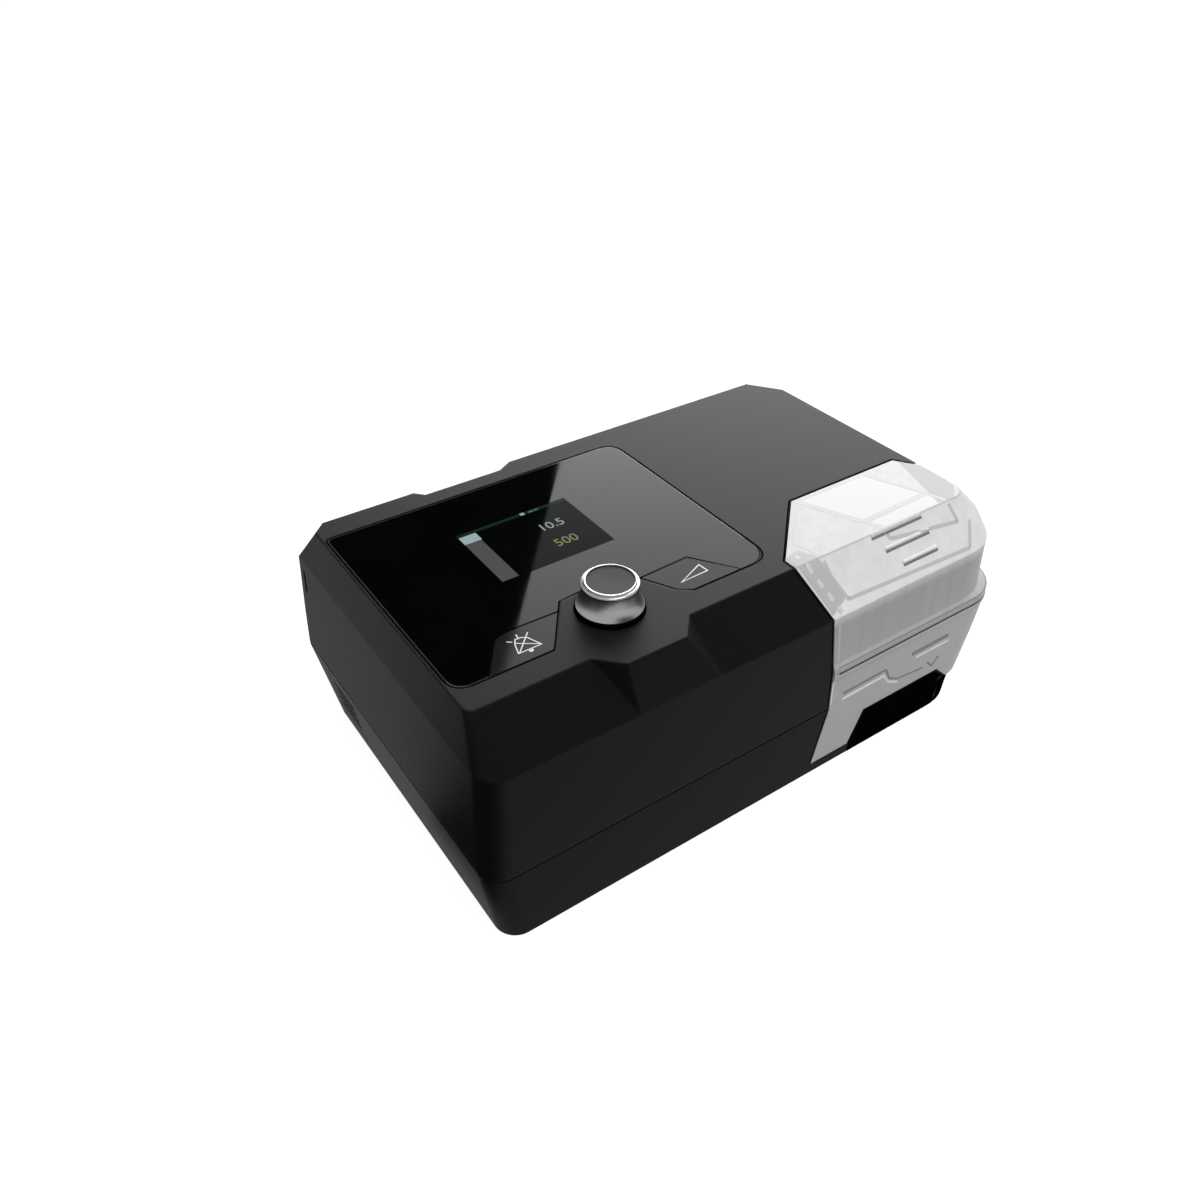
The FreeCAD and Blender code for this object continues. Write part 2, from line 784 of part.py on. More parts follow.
def make_lower_shell():
    skin = new_body("lower_skin")
    groove = s.parting_groove
    ruled_loft(skin, [
        case_section(skin, "floor"),
        case_section(skin, "parting", 0, s.parting_level - groove),
        case_section(skin, "parting", groove),
    ])
    hollow = new_body("lower_hollow")
    ruled_loft(hollow, [
        case_section(hollow, "floor", s.wall, s.floor_level + s.wall),
        case_section(hollow, "parting", s.wall),
    ])
    kept = [bay_wall_space]
    for x, y in POSTS:
        kept.append(rod("case_boss", (x, y, s.floor_level), s.boss_radius, s.parting_level))
    cuts = [
        cut("lower_space", hollow, kept),
        bay_space,
        box("filter_hole", (-s.wall, s.filter_front, s.filter_bottom),
            (s.muffler_left + s.wall - 0.4, s.filter_length, s.filter_height)),
        box("heater_hole", (s.heater_left, s.heater_front, s.platform_level - s.wall - 1),
            (s.heater_width, s.heater_depth, s.wall + 2)),
    ]
    for x, y in FEET:
        cuts.append(rod("foot_seat", (x, y, 0), s.foot_radius, s.foot_thickness))
    for x, y in POSTS:
        cuts.append(rod("boss_hole", (x, y, 0), s.screw_radius + 0.2, s.parting_level + 1))
        cuts.append(rod("boss_mouth", (x, y, 0), s.counterbore, s.floor_level + s.counterbore_depth))
    return finish(cut("lower_shell", skin, cuts))


def make_feet_and_screws():
    feet = [rod("foot", (x, y, 0), s.foot_radius, s.foot_thickness) for x, y in FEET]
    finish(group("rubber_feet", feet))
    head_top = s.floor_level + s.counterbore_depth
    screws = []
    for x, y in POSTS:
        head = rod("screw_head", (x, y, head_top - s.screw_head_height), s.screw_head, s.screw_head_height)
        shank = rod("screw_shank", (x, y, head_top), s.screw_radius,
                    s.parting_level + s.screw_bite - head_top)
        screws.append(fuse("case_screw", [head, shank]))
    finish(group("case_screws", screws))


# ---------------------------------------------------------------- glass, screen, caps


def make_glass():
    panel = prism("glass_panel", glass_outline, glass_bottom, s.glass_thickness, s.reveal)
    window = box("screen_window", (s.screen_left, s.screen_front, glass_bottom - 1),
                 (s.screen_width, s.screen_height, s.glass_thickness + 2))
    mute = prism("mute_area", mute_outline, glass_bottom - 1, s.glass_thickness + 2)
    ramp = prism("ramp_area", ramp_outline, glass_bottom - 1, s.glass_thickness + 2)
    finish(cut("display_glass", panel, [window, mute, ramp]))


def make_cap(label, draw, stem):
    """Cap that fills its corner of the glass, with a stem down to its switch."""
    area = prism(f"{label}_area", draw, glass_bottom, s.glass_thickness, s.reveal)
    limit = prism(f"{label}_limit", glass_outline, glass_bottom, s.glass_thickness, s.reveal)
    plate = common(f"{label}_plate", area, limit)
    shank = rod(f"{label}_stem", (*stem, ceiling - STEM_PROUD), s.stem_radius,
                s.roof - s.glass_thickness + STEM_PROUD)
    finish(fuse(label, [plate, shank]))


def make_screen():
    margin = s.screen_margin
    can = box("screen_can", (s.screen_left - margin, s.screen_front - margin, board_top),
              (s.screen_width + 2 * margin, s.screen_height + 2 * margin, ceiling - board_top))
    pane = box("screen_pane", (s.screen_left, s.screen_front, ceiling - 1),
               (s.screen_width, s.screen_height, s.roof + 1))
    finish(fuse("lcd_screen", [can, pane]))


# ---------------------------------------------------------------- knob and encoder


# flare of the grip: (share of the way in from base to waist, share of the way up)
FLARE = [(0.0, 0.21), (0.1, 0.4), (0.36, 0.59), (0.8, 0.81), (1.0, 1.0)]


def make_knob():
    foot, top = s.knob_gap, s.knob_height
    base, waist, rim = s.knob_base_radius, s.knob_waist_radius, s.knob_ring_radius
    bore = s.shaft_radius + s.shaft_fit
    disc = s.knob_disc_radius
    lip, cup = top - s.knob_ring_height, top - s.knob_disc_depth
    flare = [(base - (base - waist) * inward, foot + s.knob_flare * up) for inward, up in FLARE]
    finish(lathe("knob_grip", [
        (bore, foot), (base - 0.6, foot), (base, foot + 0.6), *flare, (waist, lip - 0.4),
        (rim - 0.3, lip), (disc + 0.6, lip), (disc + 0.6, cup), (bore, cup)],
        s.knob_x, s.knob_y, s.top_level))
    finish(lathe("knob_ring", [
        (disc, lip), (rim - 0.2, lip), (rim, lip + 0.3), (rim, top - 0.6), (rim - 0.5, top - 0.1),
        (rim - 1.0, top), (disc + 0.3, top), (disc, top - 0.3)],
        s.knob_x, s.knob_y, s.top_level))
    finish(lathe("knob_disc", [
        (0, cup), (disc + 0.6, cup), (disc + 0.6, lip), (disc, lip), (disc, top - 0.5), (0, top - 0.7)],
        s.knob_x, s.knob_y, s.top_level))
    shaft_foot = board_top + 2.7
    finish(rod("encoder_shaft", (s.knob_x, s.knob_y, shaft_foot), s.shaft_radius,
               s.top_level + cup - shaft_foot))
    plunger = rod("plunger_disc", (s.knob_x, s.knob_y, board_top + 1.5), s.shaft_radius + 0.4, 1.15)
    plunger.Label = "encoder_plunger"
    finish(plunger)
    body = box("encoder_case", (s.knob_x - 6, s.knob_y - 6, board_top), (12, 12, ceiling - board_top - 0.2))
    bushing = rod("encoder_bushing", (s.knob_x, s.knob_y, board_top), s.bushing_radius,
                  s.top_level - board_top + 0.2)
    hole = rod("encoder_bore", (s.knob_x, s.knob_y, board_top + 0.6), s.shaft_radius + s.shaft_fit, BEYOND)
    room = rod("plunger_room", (s.knob_x, s.knob_y, board_top + 0.6), s.shaft_radius + 0.7, 2.6)
    finish(cut("encoder_body", fuse("encoder_form", [body, bushing]), [hole, room]))


def make_boards():
    plate = box("board_plate", (s.board_left, s.board_front, s.board_level),
                (s.board_right - s.board_left, s.board_back - s.board_front, s.board_thickness))
    holes = [rod("board_hole", (x, y, s.board_level - 1), s.screw_radius, s.board_thickness + 2)
             for x, y in BOARD_POSTS]
    finish(cut("main_board", plate, holes))
    screws = []
    for x, y in BOARD_POSTS:
        head = rod("board_head", (x, y, s.board_level - s.board_screw_head_height),
                   s.board_screw_head, s.board_screw_head_height)
        shank = rod("board_shank", (x, y, s.board_level), s.screw_radius - 0.2, s.board_thickness + s.roof)
        screws.append(fuse("board_screw", [head, shank]))
    finish(group("board_screws", screws))
    switches = []
    side = s.switch_side
    for x, y in (MUTE_STEM, RAMP_STEM):
        can = box("switch_can", (x - side / 2, y - side / 2, board_top), (side, side, s.switch_height))
        tip = rod("switch_tip", (x, y, board_top), s.switch_tip,
                  ceiling - STEM_PROUD - s.button_travel - 0.2 - board_top)
        switches.append(fuse("switch", [can, tip]))
    finish(group("button_switches", switches))


# ---------------------------------------------------------------- water chamber

# A chamber section is (height, front, right, corner radius); its left and back sides lie
# outside the bay, whose own walls then trim it.


def chamber_form(label, sections):
    body = new_body(label)
    left, back = s.bay_left_foot - BEYOND, s.bay_back + BEYOND
    sketches = []
    for height, front, right, radius in sections:
        corners = [(left, front), (right, front, radius), (right, back), (left, back)]
        sketches.append(outline(body, "XY_Plane", height, corners))
    ruled_loft(body, sketches)
    return body


thick = s.chamber_wall
chamber_space = bay("chamber_space", -s.bay_gap)
chamber_inner = bay("chamber_inner", -s.bay_gap - thick)
gasket_space = bay("gasket_space", -s.bay_gap - thick + s.gasket_width)
seam_inner = (thick, s.lid_right - thick, s.lid_corner)


def gasket_ring(label, low, high, extra=0):
    """Band just outside the chamber's inner wall, between two heights."""
    width = s.gasket_width
    front, right, radius = seam_inner
    outer = chamber_form(f"{label}_outer", [(z, front - width, right + width, radius) for z in (low, high)])
    band = common(f"{label}_band", outer, gasket_space)
    if extra:
        return band
    core = chamber_form(f"{label}_core", [(z, front, right, radius) for z in (low - 1, high + 1)])
    return cut(label, band, [common(f"{label}_hole", core, chamber_inner)])


def make_tub():
    low = s.bay_floor - 5
    rim = s.seam_level
    outer = chamber_form("tub_outer", [
        (low, s.floor_front, s.tub_foot_right, s.tub_corner),
        (s.parting_level, 0, s.tub_middle_right, s.tub_corner),
        (s.tub_neck_level, 0, s.tub_right, s.tub_corner),
        (rim - s.flange_half, -s.flange_front, s.flange_right, s.flange_corner),
        (rim, -s.flange_front, s.flange_right, s.flange_corner),
    ])
    inner = chamber_form("tub_inner", [
        (low, s.floor_front + thick, s.tub_foot_right - thick, s.tub_corner),
        (s.parting_level, thick, s.tub_middle_right - thick, s.tub_corner),
        (s.tub_neck_level, thick, s.tub_right - thick, s.tub_corner),
        (rim - s.flange_half, *seam_inner),
        (rim, *seam_inner),
    ])
    plate_low = s.platform_level + s.bay_gap
    window = box("plate_window", (s.heater_left + 2, s.heater_front + 2, plate_low - 1),
                 (s.heater_width - 4, s.heater_depth - 4, 6))
    seat_box = box("plate_seat", (s.heater_left, s.heater_front, plate_low - 1),
                   (s.heater_width, s.heater_depth, 1 + thick / 2))
    rebate = gasket_ring("tub_rebate", rim - s.gasket_depth, rim + 1, 1)
    finish(cut("chamber_tub", common("tub_solid", outer, chamber_space),
               [common("tub_room", inner, chamber_inner), window, seat_box, rebate]))
    finish(box("chamber_base_plate", (s.heater_left, s.heater_front, plate_low),
               (s.heater_width, s.heater_depth, thick / 2)))
    finish(gasket_ring("chamber_gasket", rim - s.gasket_depth, rim + s.lid_gap + 0.5))


RIBS = [(186.0, 29.0, 0.02), (191.0, 25.5, 0.3), (197.7, 20.4, 0.62)]


def make_lid():
    rim = s.seam_level + s.lid_gap
    shoulder_front = s.top_front * part_up
    shoulder_right = s.case_length - s.shoulder_right
    top_right = s.case_length - s.top_right
    outer = chamber_form("lid_outer", [
        (rim, -s.flange_front, s.flange_right, s.flange_corner),
        (rim + s.flange_half, -s.flange_front, s.flange_right, s.flange_corner),
        (rim + 2 * s.flange_half, 0, s.lid_right, s.lid_corner + 1),
        (s.crease_level, 0, s.lid_right, s.lid_corner),
        (s.shoulder_level, shoulder_front, shoulder_right, s.lid_shoulder_corner),
        (s.top_level, s.top_front, top_right, s.lid_top_corner),
    ])
    inner = chamber_form("lid_inner", [
        (rim, *seam_inner),
        (rim + 2 * s.flange_half, *seam_inner),
        (s.crease_level, thick, s.lid_right - thick, s.lid_corner),
        (s.shoulder_level, shoulder_front + thick, shoulder_right - thick, s.lid_shoulder_corner),
        (s.top_level - thick, s.top_front + thick / 2, top_right - thick / 2, s.lid_top_corner),
    ])
    holes = [rod("lid_port", (x, s.bay_back - BEYOND / 2, s.port_level), s.port_radius, BEYOND, "y")
             for x in (s.inlet_port_x, s.outlet_port_x)]
    rebate = gasket_ring("lid_rebate", rim - 1, rim + 0.8, 1)
    shell = cut("lid_shell", common("lid_solid", outer, chamber_space),
                [common("lid_room", inner, chamber_inner), rebate, *holes])
    ribs = []
    for x, length, down in RIBS:
        y = s.top_front * (1 - down)
        z = s.top_level - (s.top_level - s.crease_level) * down
        ribs.append(rod("grip_rib", (x, y, z - s.rib_radius / 2), s.rib_radius, length, "x"))
    finish(fuse("chamber_lid", [shell, *ribs]))


def make_baffle():
    """Upright wall between the two ports and a shelf that turns the air over the water."""
    middle = (s.inlet_port_x + s.outlet_port_x) / 2
    top = s.top_level - thick
    fin = box("baffle_fin", (middle - 0.8, s.top_front + 10, s.seam_level + 8),
              (1.6, s.bay_back - s.bay_gap - thick - s.top_front - 10, top - s.seam_level - 8))
    shelf = box("baffle_shelf", (s.inlet_port_x - 14, s.top_front + 10, s.seam_level + 8),
                (s.outlet_port_x - s.inlet_port_x + 28,
                 s.bay_back - s.bay_gap - thick - s.top_front - 10, 1.6))
    finish(fuse("chamber_baffle", [fin, shelf]))


# ---------------------------------------------------------------- heater


def make_heater():
    under = s.platform_level - s.wall
    finish(box("heater_plate", (s.heater_left, s.heater_front, under),
               (s.heater_width, s.heater_depth, s.wall + s.bay_gap - s.heater_gap)))
    margin = s.insulator_margin
    thickness = s.insulator_thickness
    finish(box("heater_insulator", (s.heater_left - margin, s.heater_front - margin, under - thickness),
               (s.heater_width + 2 * margin, s.heater_depth + 2 * margin, thickness)))


# ---------------------------------------------------------------- air path


def tube(label, x, y, z, outer, inner, length):
    """Pipe along +y."""
    return cut(label, rod(f"{label}_out", (x, y, z), outer, length, "y"),
               [rod(f"{label}_in", (x, y - 1, z), inner, length + 2, "y")])


def make_outlet():
    x, z = s.outlet_port_x, s.port_level
    inside = s.bay_back + s.wall
    flange_back = niche_floor - s.wall
    flange_front = flange_back - 2
    finish(tube("outlet_duct", x, inside, z, s.outlet_radius, s.outlet_bore, flange_front - inside))
    reach = s.case_depth + s.outlet_reach - flange_front
    form = fuse("outlet_form", [rod("outlet_cone", (x, flange_front, z), s.outlet_radius, reach, "y"),
                                rod("outlet_collar", (x, flange_front, z), s.outlet_radius + s.outlet_collar,
                                    2 + s.wall + 0.5, "y"),
                                rod("outlet_flange", (x, flange_front, z), s.outlet_radius + 3, 2, "y")])
    finish(cut("outlet_connector", form, [rod("outlet_way", (x, flange_front - 1, z), s.outlet_bore,
                                              reach + 2, "y")]))
    bore, thickness = s.port_radius + 0.5, s.seal_thickness
    seals = [tube("port_seal", port, s.bay_back - 0.1, z, s.seal_radius, bore, thickness)
             for port in (s.inlet_port_x, s.outlet_port_x)]
    finish(group("port_seals", seals))


DUCT_NECK = 0.4       # share of the straight run in which the duct turns from oblong to round


def duct_skin(radius, start, half_width, half_height):
    """Solid from the blower's oblong mouth through two bends to the bay wall."""
    x0, y, z0 = s.blower_x.number + s.scroll_reach.number, start[1], start[2]
    bend = s.duct_bend.number
    x1, z1, y1 = s.inlet_port_x.number, s.port_level.number, s.bay_back.number + s.wall.number
    neck = DUCT_NECK * (x1 - bend - x0)
    mouth = Part.makePolygon([Vector(x0, y + dy, z0 + dz) for dy, dz in (
        (-half_width, -half_height), (half_width, -half_height), (half_width, half_height),
        (-half_width, half_height), (-half_width, -half_height))])
    ring = Part.Wire(Part.makeCircle(radius, Vector(x0 + neck, y, z0), Vector(1, 0, 0)))
    cone = Part.makeLoft([mouth, ring], True)
    corner = bend * (1 - math.sqrt(0.5))
    path = Part.Wire([
        Part.LineSegment(Vector(x0 + neck, y, z0), Vector(x1 - bend, y, z0)).toShape(),
        Part.Arc(Vector(x1 - bend, y, z0), Vector(x1 - corner, y, z0 + corner),
                 Vector(x1, y, z0 + bend)).toShape(),
        Part.LineSegment(Vector(x1, y, z0 + bend), Vector(x1, y, z1 - bend)).toShape(),
        Part.Arc(Vector(x1, y, z1 - bend), Vector(x1, y - corner, z1 - corner),
                 Vector(x1, y - bend, z1)).toShape(),
        Part.LineSegment(Vector(x1, y - bend, z1), Vector(x1, y1, z1)).toShape(),
    ])
    pipe = path.makePipeShell([ring], True, False)
    return cone.fuse(pipe)


def make_pressure_duct():
    start = (0, duct_axis_y.number, s.blower_level.number + s.blower_half.number)
    half_width, half_height = s.scroll_outlet.number / 2, s.blower_half.number
    thin = s.duct_wall.number
    radius = s.duct_radius.number
    outside = duct_skin(radius, start, half_width, half_height)
    inside = duct_skin(radius - thin, start, half_width - thin, half_height - thin)
    duct = doc.addObject("Part::Feature", "pressure_duct")
    duct.Shape = outside.cut(inside).removeSplitter()
    finish(duct)


# ---------------------------------------------------------------- blower


def scroll(label, low, height, wall=0.0, mouth=0.0):
    """Spiral casing of four quarter arcs, each wider than the last, and a tangent outlet."""
    step = s.scroll_growth.number
    first = s.scroll_radius.number - wall
    top = first + 3 * step + step
    gate = top - s.scroll_outlet.number + 2 * wall
    reach = s.scroll_reach.number + mouth
    radii = [first + step * k for k in range(4)]
    centres = [Vector(0, 0, 0), Vector(-step, 0, 0), Vector(-step, step, 0), Vector(0, step, 0)]
    tongue = Vector(math.sqrt(first ** 2 - gate ** 2), gate, 0)
    ends = [Vector(first, 0, 0), centres[1] + Vector(0, -radii[1], 0),
            centres[2] + Vector(-radii[2], 0, 0), centres[3] + Vector(0, radii[3], 0)]
    middles = [-45, -45, -135, 135]
    edges = []
    at = tongue
    for k in range(4):
        angle = math.radians(middles[k]) if k else math.atan2(gate, tongue.x) / 2
        way = Vector(math.cos(angle), math.sin(angle), 0)
        edges.append(Part.Arc(at, centres[k] + way * radii[k], ends[k]).toShape())
        at = ends[k]
    for spot in (Vector(reach, at.y, 0), Vector(reach, gate, 0), tongue):
        edges.append(Part.LineSegment(at, spot).toShape())
        at = spot
    solid = Part.Face(Part.Wire(edges)).extrude(Vector(0, 0, height))
    form = doc.addObject("Part::Feature", label)
    form.Shape = solid
    form.Placement.Base = Vector(s.blower_x.number, s.blower_y.number, low.number)
    return form


def make_blower():
    x, y, low, half, wall = s.blower_x, s.blower_y, s.blower_level, s.blower_half, s.blower_wall
    thin, tall, past = wall.number, half.number, 5.0
    ear = (s.scroll_radius + 7) * math.sqrt(0.5)
    spots = [(x + i * ear, y + j * ear) for i in (-1, 1) for j in (-1, 1)]
    ears = [rod("ear", (ex, ey, low), s.mount_radius + 1.5, 3) for ex, ey in spots]
    base_form = fuse("base_form", [scroll("base_scroll", low, tall), *ears])
    finish(cut("blower_base", base_form, [
        scroll("base_room", low + wall, tall, thin, past),
        rod("inlet_eye", (x, y, low - 1), s.impeller_eye + 1, wall + 2)]))
    finish(cut("blower_cover", scroll("cover_scroll", low + half, tall), [
        scroll("cover_room", low + half - 1, tall - thin + 1, thin, past),
        rod("shaft_hole", (x, y, low + half), s.rotor_radius + 1, half + 1)]))
    roof = low + 2 * half
    finish(cut("blower_motor", rod("motor_can", (x, y, roof), s.motor_radius, s.motor_height),
               [rod("motor_bore", (x, y, roof - 1), s.rotor_radius + s.shaft_fit, s.motor_height - 2)]))
    plate = roof - wall - 4
    finish(rod("rotor_shaft", (x, y, plate - 10), s.rotor_radius, s.motor_height + 8))
    posts = [rod("mount", (ex, ey, s.floor_level + s.wall), s.mount_radius, low - s.floor_level - s.wall)
             for ex, ey in spots]
    finish(group("blower_mounts", posts))
    make_impeller(x, y, plate)


def make_impeller(x, y, plate):
    """Back plate with hub and eleven blades that curve back from the eye to the rim."""
    body = new_body("impeller")
    rim, eye = s.impeller_radius, s.impeller_eye
    bore = s.rotor_radius
    profile = [(bore, -12), (5, -12), (7, -4), (eye, -0.8), (rim, -0.8), (rim, 0.8), (bore, 0.8)]
    disc = outline(body, "XZ_Plane", 0, profile)
    turn = body.newObject("PartDesign::Revolution", "Hub")
    turn.Profile = disc
    turn.ReferenceAxis = (disc, ["V_Axis"])
    turn.Angle = 360
    thin = s.blade_thickness
    blade = outline(body, "XY_Plane", -s.blade_height, [
        (eye, 0), (rim * 0.72, -rim * 0.07, eye), (rim * 0.88, -rim * 0.38),
        (rim * 0.88 + thin * 0.89, -rim * 0.38 + thin * 0.46),
        (rim * 0.72 + thin * 0.68, -rim * 0.07 + thin * 0.87, eye + thin),
        (eye + thin * 0.22, thin * 0.98)])
    fin = extrude(body, "Pad", blade, s.blade_height)
    ring = body.newObject("PartDesign::PolarPattern", "Blades")
    ring.Originals = [fin]
    ring.Axis = (origin_plane(body, "Z_Axis"), [""])
    ring.Angle = 360
    ring.Occurrences = 11
    body.Tip = ring
    finish(seat(body, x, y, plate))


# ---------------------------------------------------------------- inlet


def left_wall_x(height):
    """Where the tucked-in left wall of the base stands at a height."""
    return s.floor_left * (s.parting_level - height) / (s.parting_level - s.floor_level)


def make_filter_cover():
    gap = s.cover_gap
    low, high = s.filter_bottom + gap, s.filter_bottom + s.filter_height - gap
    front, length = s.filter_front + gap, s.filter_length - 2 * gap
    body = new_body("filter_cover")
    profile = [(left_wall_x(low), low), (left_wall_x(low) + s.cover_thickness, low),
               (left_wall_x(high) + s.cover_thickness, high), (left_wall_x(high), high)]
    extrude(body, "Pad", outline(body, "XZ_Plane", -front, profile), length, True)
    count, pitch = 4, 2 * s.louvre_width
    first = (low + high) / 2 - pitch * (count - 1) / 2 - s.louvre_width / 2
    slot = outline(body, "YZ_Plane", -BEYOND, [
        (front + 4, first), (front + length - 4, first),
        (front + length - 4, first + s.louvre_width), (front + 4, first + s.louvre_width)])
    louvre = extrude(body, "Pocket", slot, 2 * BEYOND, True)
    row = body.newObject("PartDesign::LinearPattern", "Louvres")
    row.Originals = [louvre]
    row.Direction = (origin_plane(body, "Z_Axis"), [""])
    row.Mode = "Spacing"
    bind(row, "Offset", pitch)
    row.Occurrences = count
    body.Tip = row
    finish(body)


def make_inlet():
    low = s.floor_level + s.wall
    left, width = s.muffler_left, s.muffler_width
    front, length = s.muffler_front, s.muffler_back - s.muffler_front
    wall = s.muffler_wall
    tower = box("air_tower", (left, front, low), (width, length, s.muffler_height))
    tray_high = s.blower_level - low - 0.2
    half = s.impeller_eye + 8
    tray_back = s.blower_y - half
    tray = box("air_tray", (left, tray_back, low), (s.blower_x + half - left, 2 * half, tray_high))
    inner_tower = box("tower_room", (left + wall, front + wall, low + wall),
                      (width - 2 * wall, length - 2 * wall, s.muffler_height - 2 * wall))
    inner_tray = box("tray_room", (left + wall, tray_back + wall, low + wall),
                     (s.blower_x + half - left - 2 * wall, 2 * half - 2 * wall, tray_high - 2 * wall))
    mouth = box("filter_mouth", (left - 1, s.filter_front + 2, s.filter_bottom + 2),
                (wall + 2, s.filter_length - 4, s.filter_height - 4))
    eye = rod("tray_eye", (s.blower_x, s.blower_y, s.blower_level - wall - 2), s.impeller_eye + 1, wall + 3)
    finish(cut("inlet_muffler", fuse("muffler_form", [tower, tray]), [inner_tower, inner_tray, mouth, eye]))
    foam = box("foam_block", (left + wall + 0.2, front + wall + 0.2, low + 30),
               (width - 2 * wall - 0.4, length - 2 * wall - 0.4, s.muffler_height - 30 - wall - 0.2))
    foam.Label = "muffler_foam"
    finish(foam)
    pad = box("filter_pad", (left - s.filter_thickness - 0.2, s.filter_front + 0.5, s.filter_bottom + 0.5),
              (s.filter_thickness, s.filter_length - 1, s.filter_height - 1))
    pad.Label = "air_filter"
    finish(pad)


# ---------------------------------------------------------------- sockets


def make_sockets():
    face, side = s.case_depth - s.dc_inset, s.dc_block
    nose = rod("dc_nose", (s.dc_x, face - 8, s.dc_level), s.dc_radius, 8, "y")
    block = box("dc_case", (s.dc_x - side / 2, s.case_depth - s.wall - side, s.dc_level - side / 2),
                (side, side, side))
    hole = rod("dc_hole_in", (s.dc_x, face - 10, s.dc_level), s.dc_bore, 11, "y")
    finish(cut("dc_socket", fuse("dc_form", [nose, block]), [hole]))
    reader = box("card_case", (s.wall + 0.2, s.card_y - 4.5, s.card_level - s.card_height / 2 - 1.5),
                 (13, 6, s.card_height + 3))
    way = box("card_way", (0, s.card_y - s.card_slot / 2, s.card_level - s.card_height / 2),
              (14, s.card_slot, s.card_height))
    finish(cut("card_socket", reader, [way]))


# ---------------------------------------------------------------- build, check and write

make_upper_shell()
make_bay_liner()
make_outlet_niche()
make_pillars()
make_lower_shell()
make_feet_and_screws()
make_glass()
make_cap("mute_button", mute_outline, MUTE_STEM)
make_cap("ramp_button", ramp_outline, RAMP_STEM)
make_screen()
make_knob()
make_boards()
make_tub()
make_lid()
make_baffle()
make_heater()
make_outlet()
make_pressure_duct()
make_blower()
make_filter_cover()
make_inlet()
make_sockets()
doc.recompute()

# The part frame: middle of the length and of the whole depth, from flange to air outlet.
shift = {
    "x": -s.flange_right / 2,
    "y": -(s.case_depth + s.outlet_reach - s.flange_front) / 2,
}
for piece in FINISHED:
    for axis, value in shift.items():
        current = Size.of(getattr(piece.Placement.Base, axis))
        for path, formula in piece.ExpressionEngine:
            if path == f".Placement.Base.{axis}":
                current = Size(formula, current.number)
        bind(piece, f".Placement.Base.{axis}", current + value)
doc.recompute()

for thing in doc.Objects:
    if "Invalid" in thing.State or "Error" in thing.State:
        raise RuntimeError(f"{thing.Label} did not compute: {thing.State}")
os.makedirs("parts", exist_ok=True)
for piece in FINISHED:
    shape = piece.Shape
    if shape.isNull() or not shape.isValid() or not shape.Solids:
        raise RuntimeError(f"{piece.Label} is not a sound solid")
    shape.exportStep(f"parts/{piece.Label}.step")
    print(f"{piece.Label}: {len(shape.Solids)} solids, {shape.Volume:.0f} mm3")
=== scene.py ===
import json
import math
import bmesh
import bpy
from mathutils import Matrix, Vector


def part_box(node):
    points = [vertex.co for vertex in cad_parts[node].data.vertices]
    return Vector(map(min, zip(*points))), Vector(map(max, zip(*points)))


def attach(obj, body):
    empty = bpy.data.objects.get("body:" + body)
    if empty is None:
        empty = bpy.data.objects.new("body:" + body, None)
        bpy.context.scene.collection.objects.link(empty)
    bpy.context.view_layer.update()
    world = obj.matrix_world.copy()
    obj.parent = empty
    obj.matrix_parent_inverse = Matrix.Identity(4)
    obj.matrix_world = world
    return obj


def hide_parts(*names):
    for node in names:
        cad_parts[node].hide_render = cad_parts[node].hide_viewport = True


# Looks of the bedside CPAP machine. Metres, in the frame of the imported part.
# Sizes written in millimetres are in the case frame of the part's source.

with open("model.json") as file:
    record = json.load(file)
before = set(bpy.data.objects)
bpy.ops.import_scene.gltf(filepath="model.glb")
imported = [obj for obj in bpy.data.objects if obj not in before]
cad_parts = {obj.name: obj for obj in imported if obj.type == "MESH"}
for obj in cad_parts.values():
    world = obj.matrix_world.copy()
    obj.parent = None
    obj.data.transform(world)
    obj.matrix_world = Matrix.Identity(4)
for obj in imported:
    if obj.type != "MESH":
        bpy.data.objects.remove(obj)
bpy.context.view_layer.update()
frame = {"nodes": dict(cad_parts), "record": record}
nodes = frame["nodes"]

SHIFT_X, SHIFT_Y = 132.5, 85.6  # case millimetres of the scene's origin
ROOF = 101.5                    # height of the case's roof and the lid's top
FRONT_START = -30               # a y in front of the case, where rays towards its front start
TOP_START = 140                 # a height above everything, where rays downwards start
SIDE_START = 0.2                # metres from the pivot at which rays towards a side start
SHADER = "Principled BSDF"


def place(x, y, z):
    """Case millimetres to scene metres."""
    return Vector(((x - SHIFT_X) / 1000, (y - SHIFT_Y) / 1000, z / 1000))


# ---------------------------------------------------------------- materials

def principled(name, color, roughness, metallic=0.0, **sockets):
    """Material with constants on its shader's sockets."""
    m = bpy.data.materials.new(name)
    m.use_nodes = True
    shader = m.node_tree.nodes[SHADER]
    shader.inputs["Base Color"].default_value = (*color, 1.0)
    shader.inputs["Roughness"].default_value = roughness
    shader.inputs["Metallic"].default_value = metallic
    for key, value in sockets.items():
        shader.inputs[key.replace("_", " ")].default_value = value
    return m


def grey(value):
    """A grey with a faint blue cast."""
    return (value, value * 1.004, value * 1.01)


def noise(m, scale, detail, stretch=(1, 1, 1)):
    """Noise in the object's own coordinates."""
    tree = m.node_tree
    coords = tree.nodes.new("ShaderNodeTexCoord")
    mapping = tree.nodes.new("ShaderNodeMapping")
    mapping.inputs["Scale"].default_value = stretch
    texture = tree.nodes.new("ShaderNodeTexNoise")
    texture.inputs["Scale"].default_value = scale
    texture.inputs["Detail"].default_value = detail
    tree.links.new(coords.outputs["Object"], mapping.inputs["Vector"])
    tree.links.new(mapping.outputs["Vector"], texture.inputs["Vector"])
    return texture.outputs["Fac"]


NOISE_LOW, NOISE_HIGH = 0.3, 0.7  # most of a noise lies between these


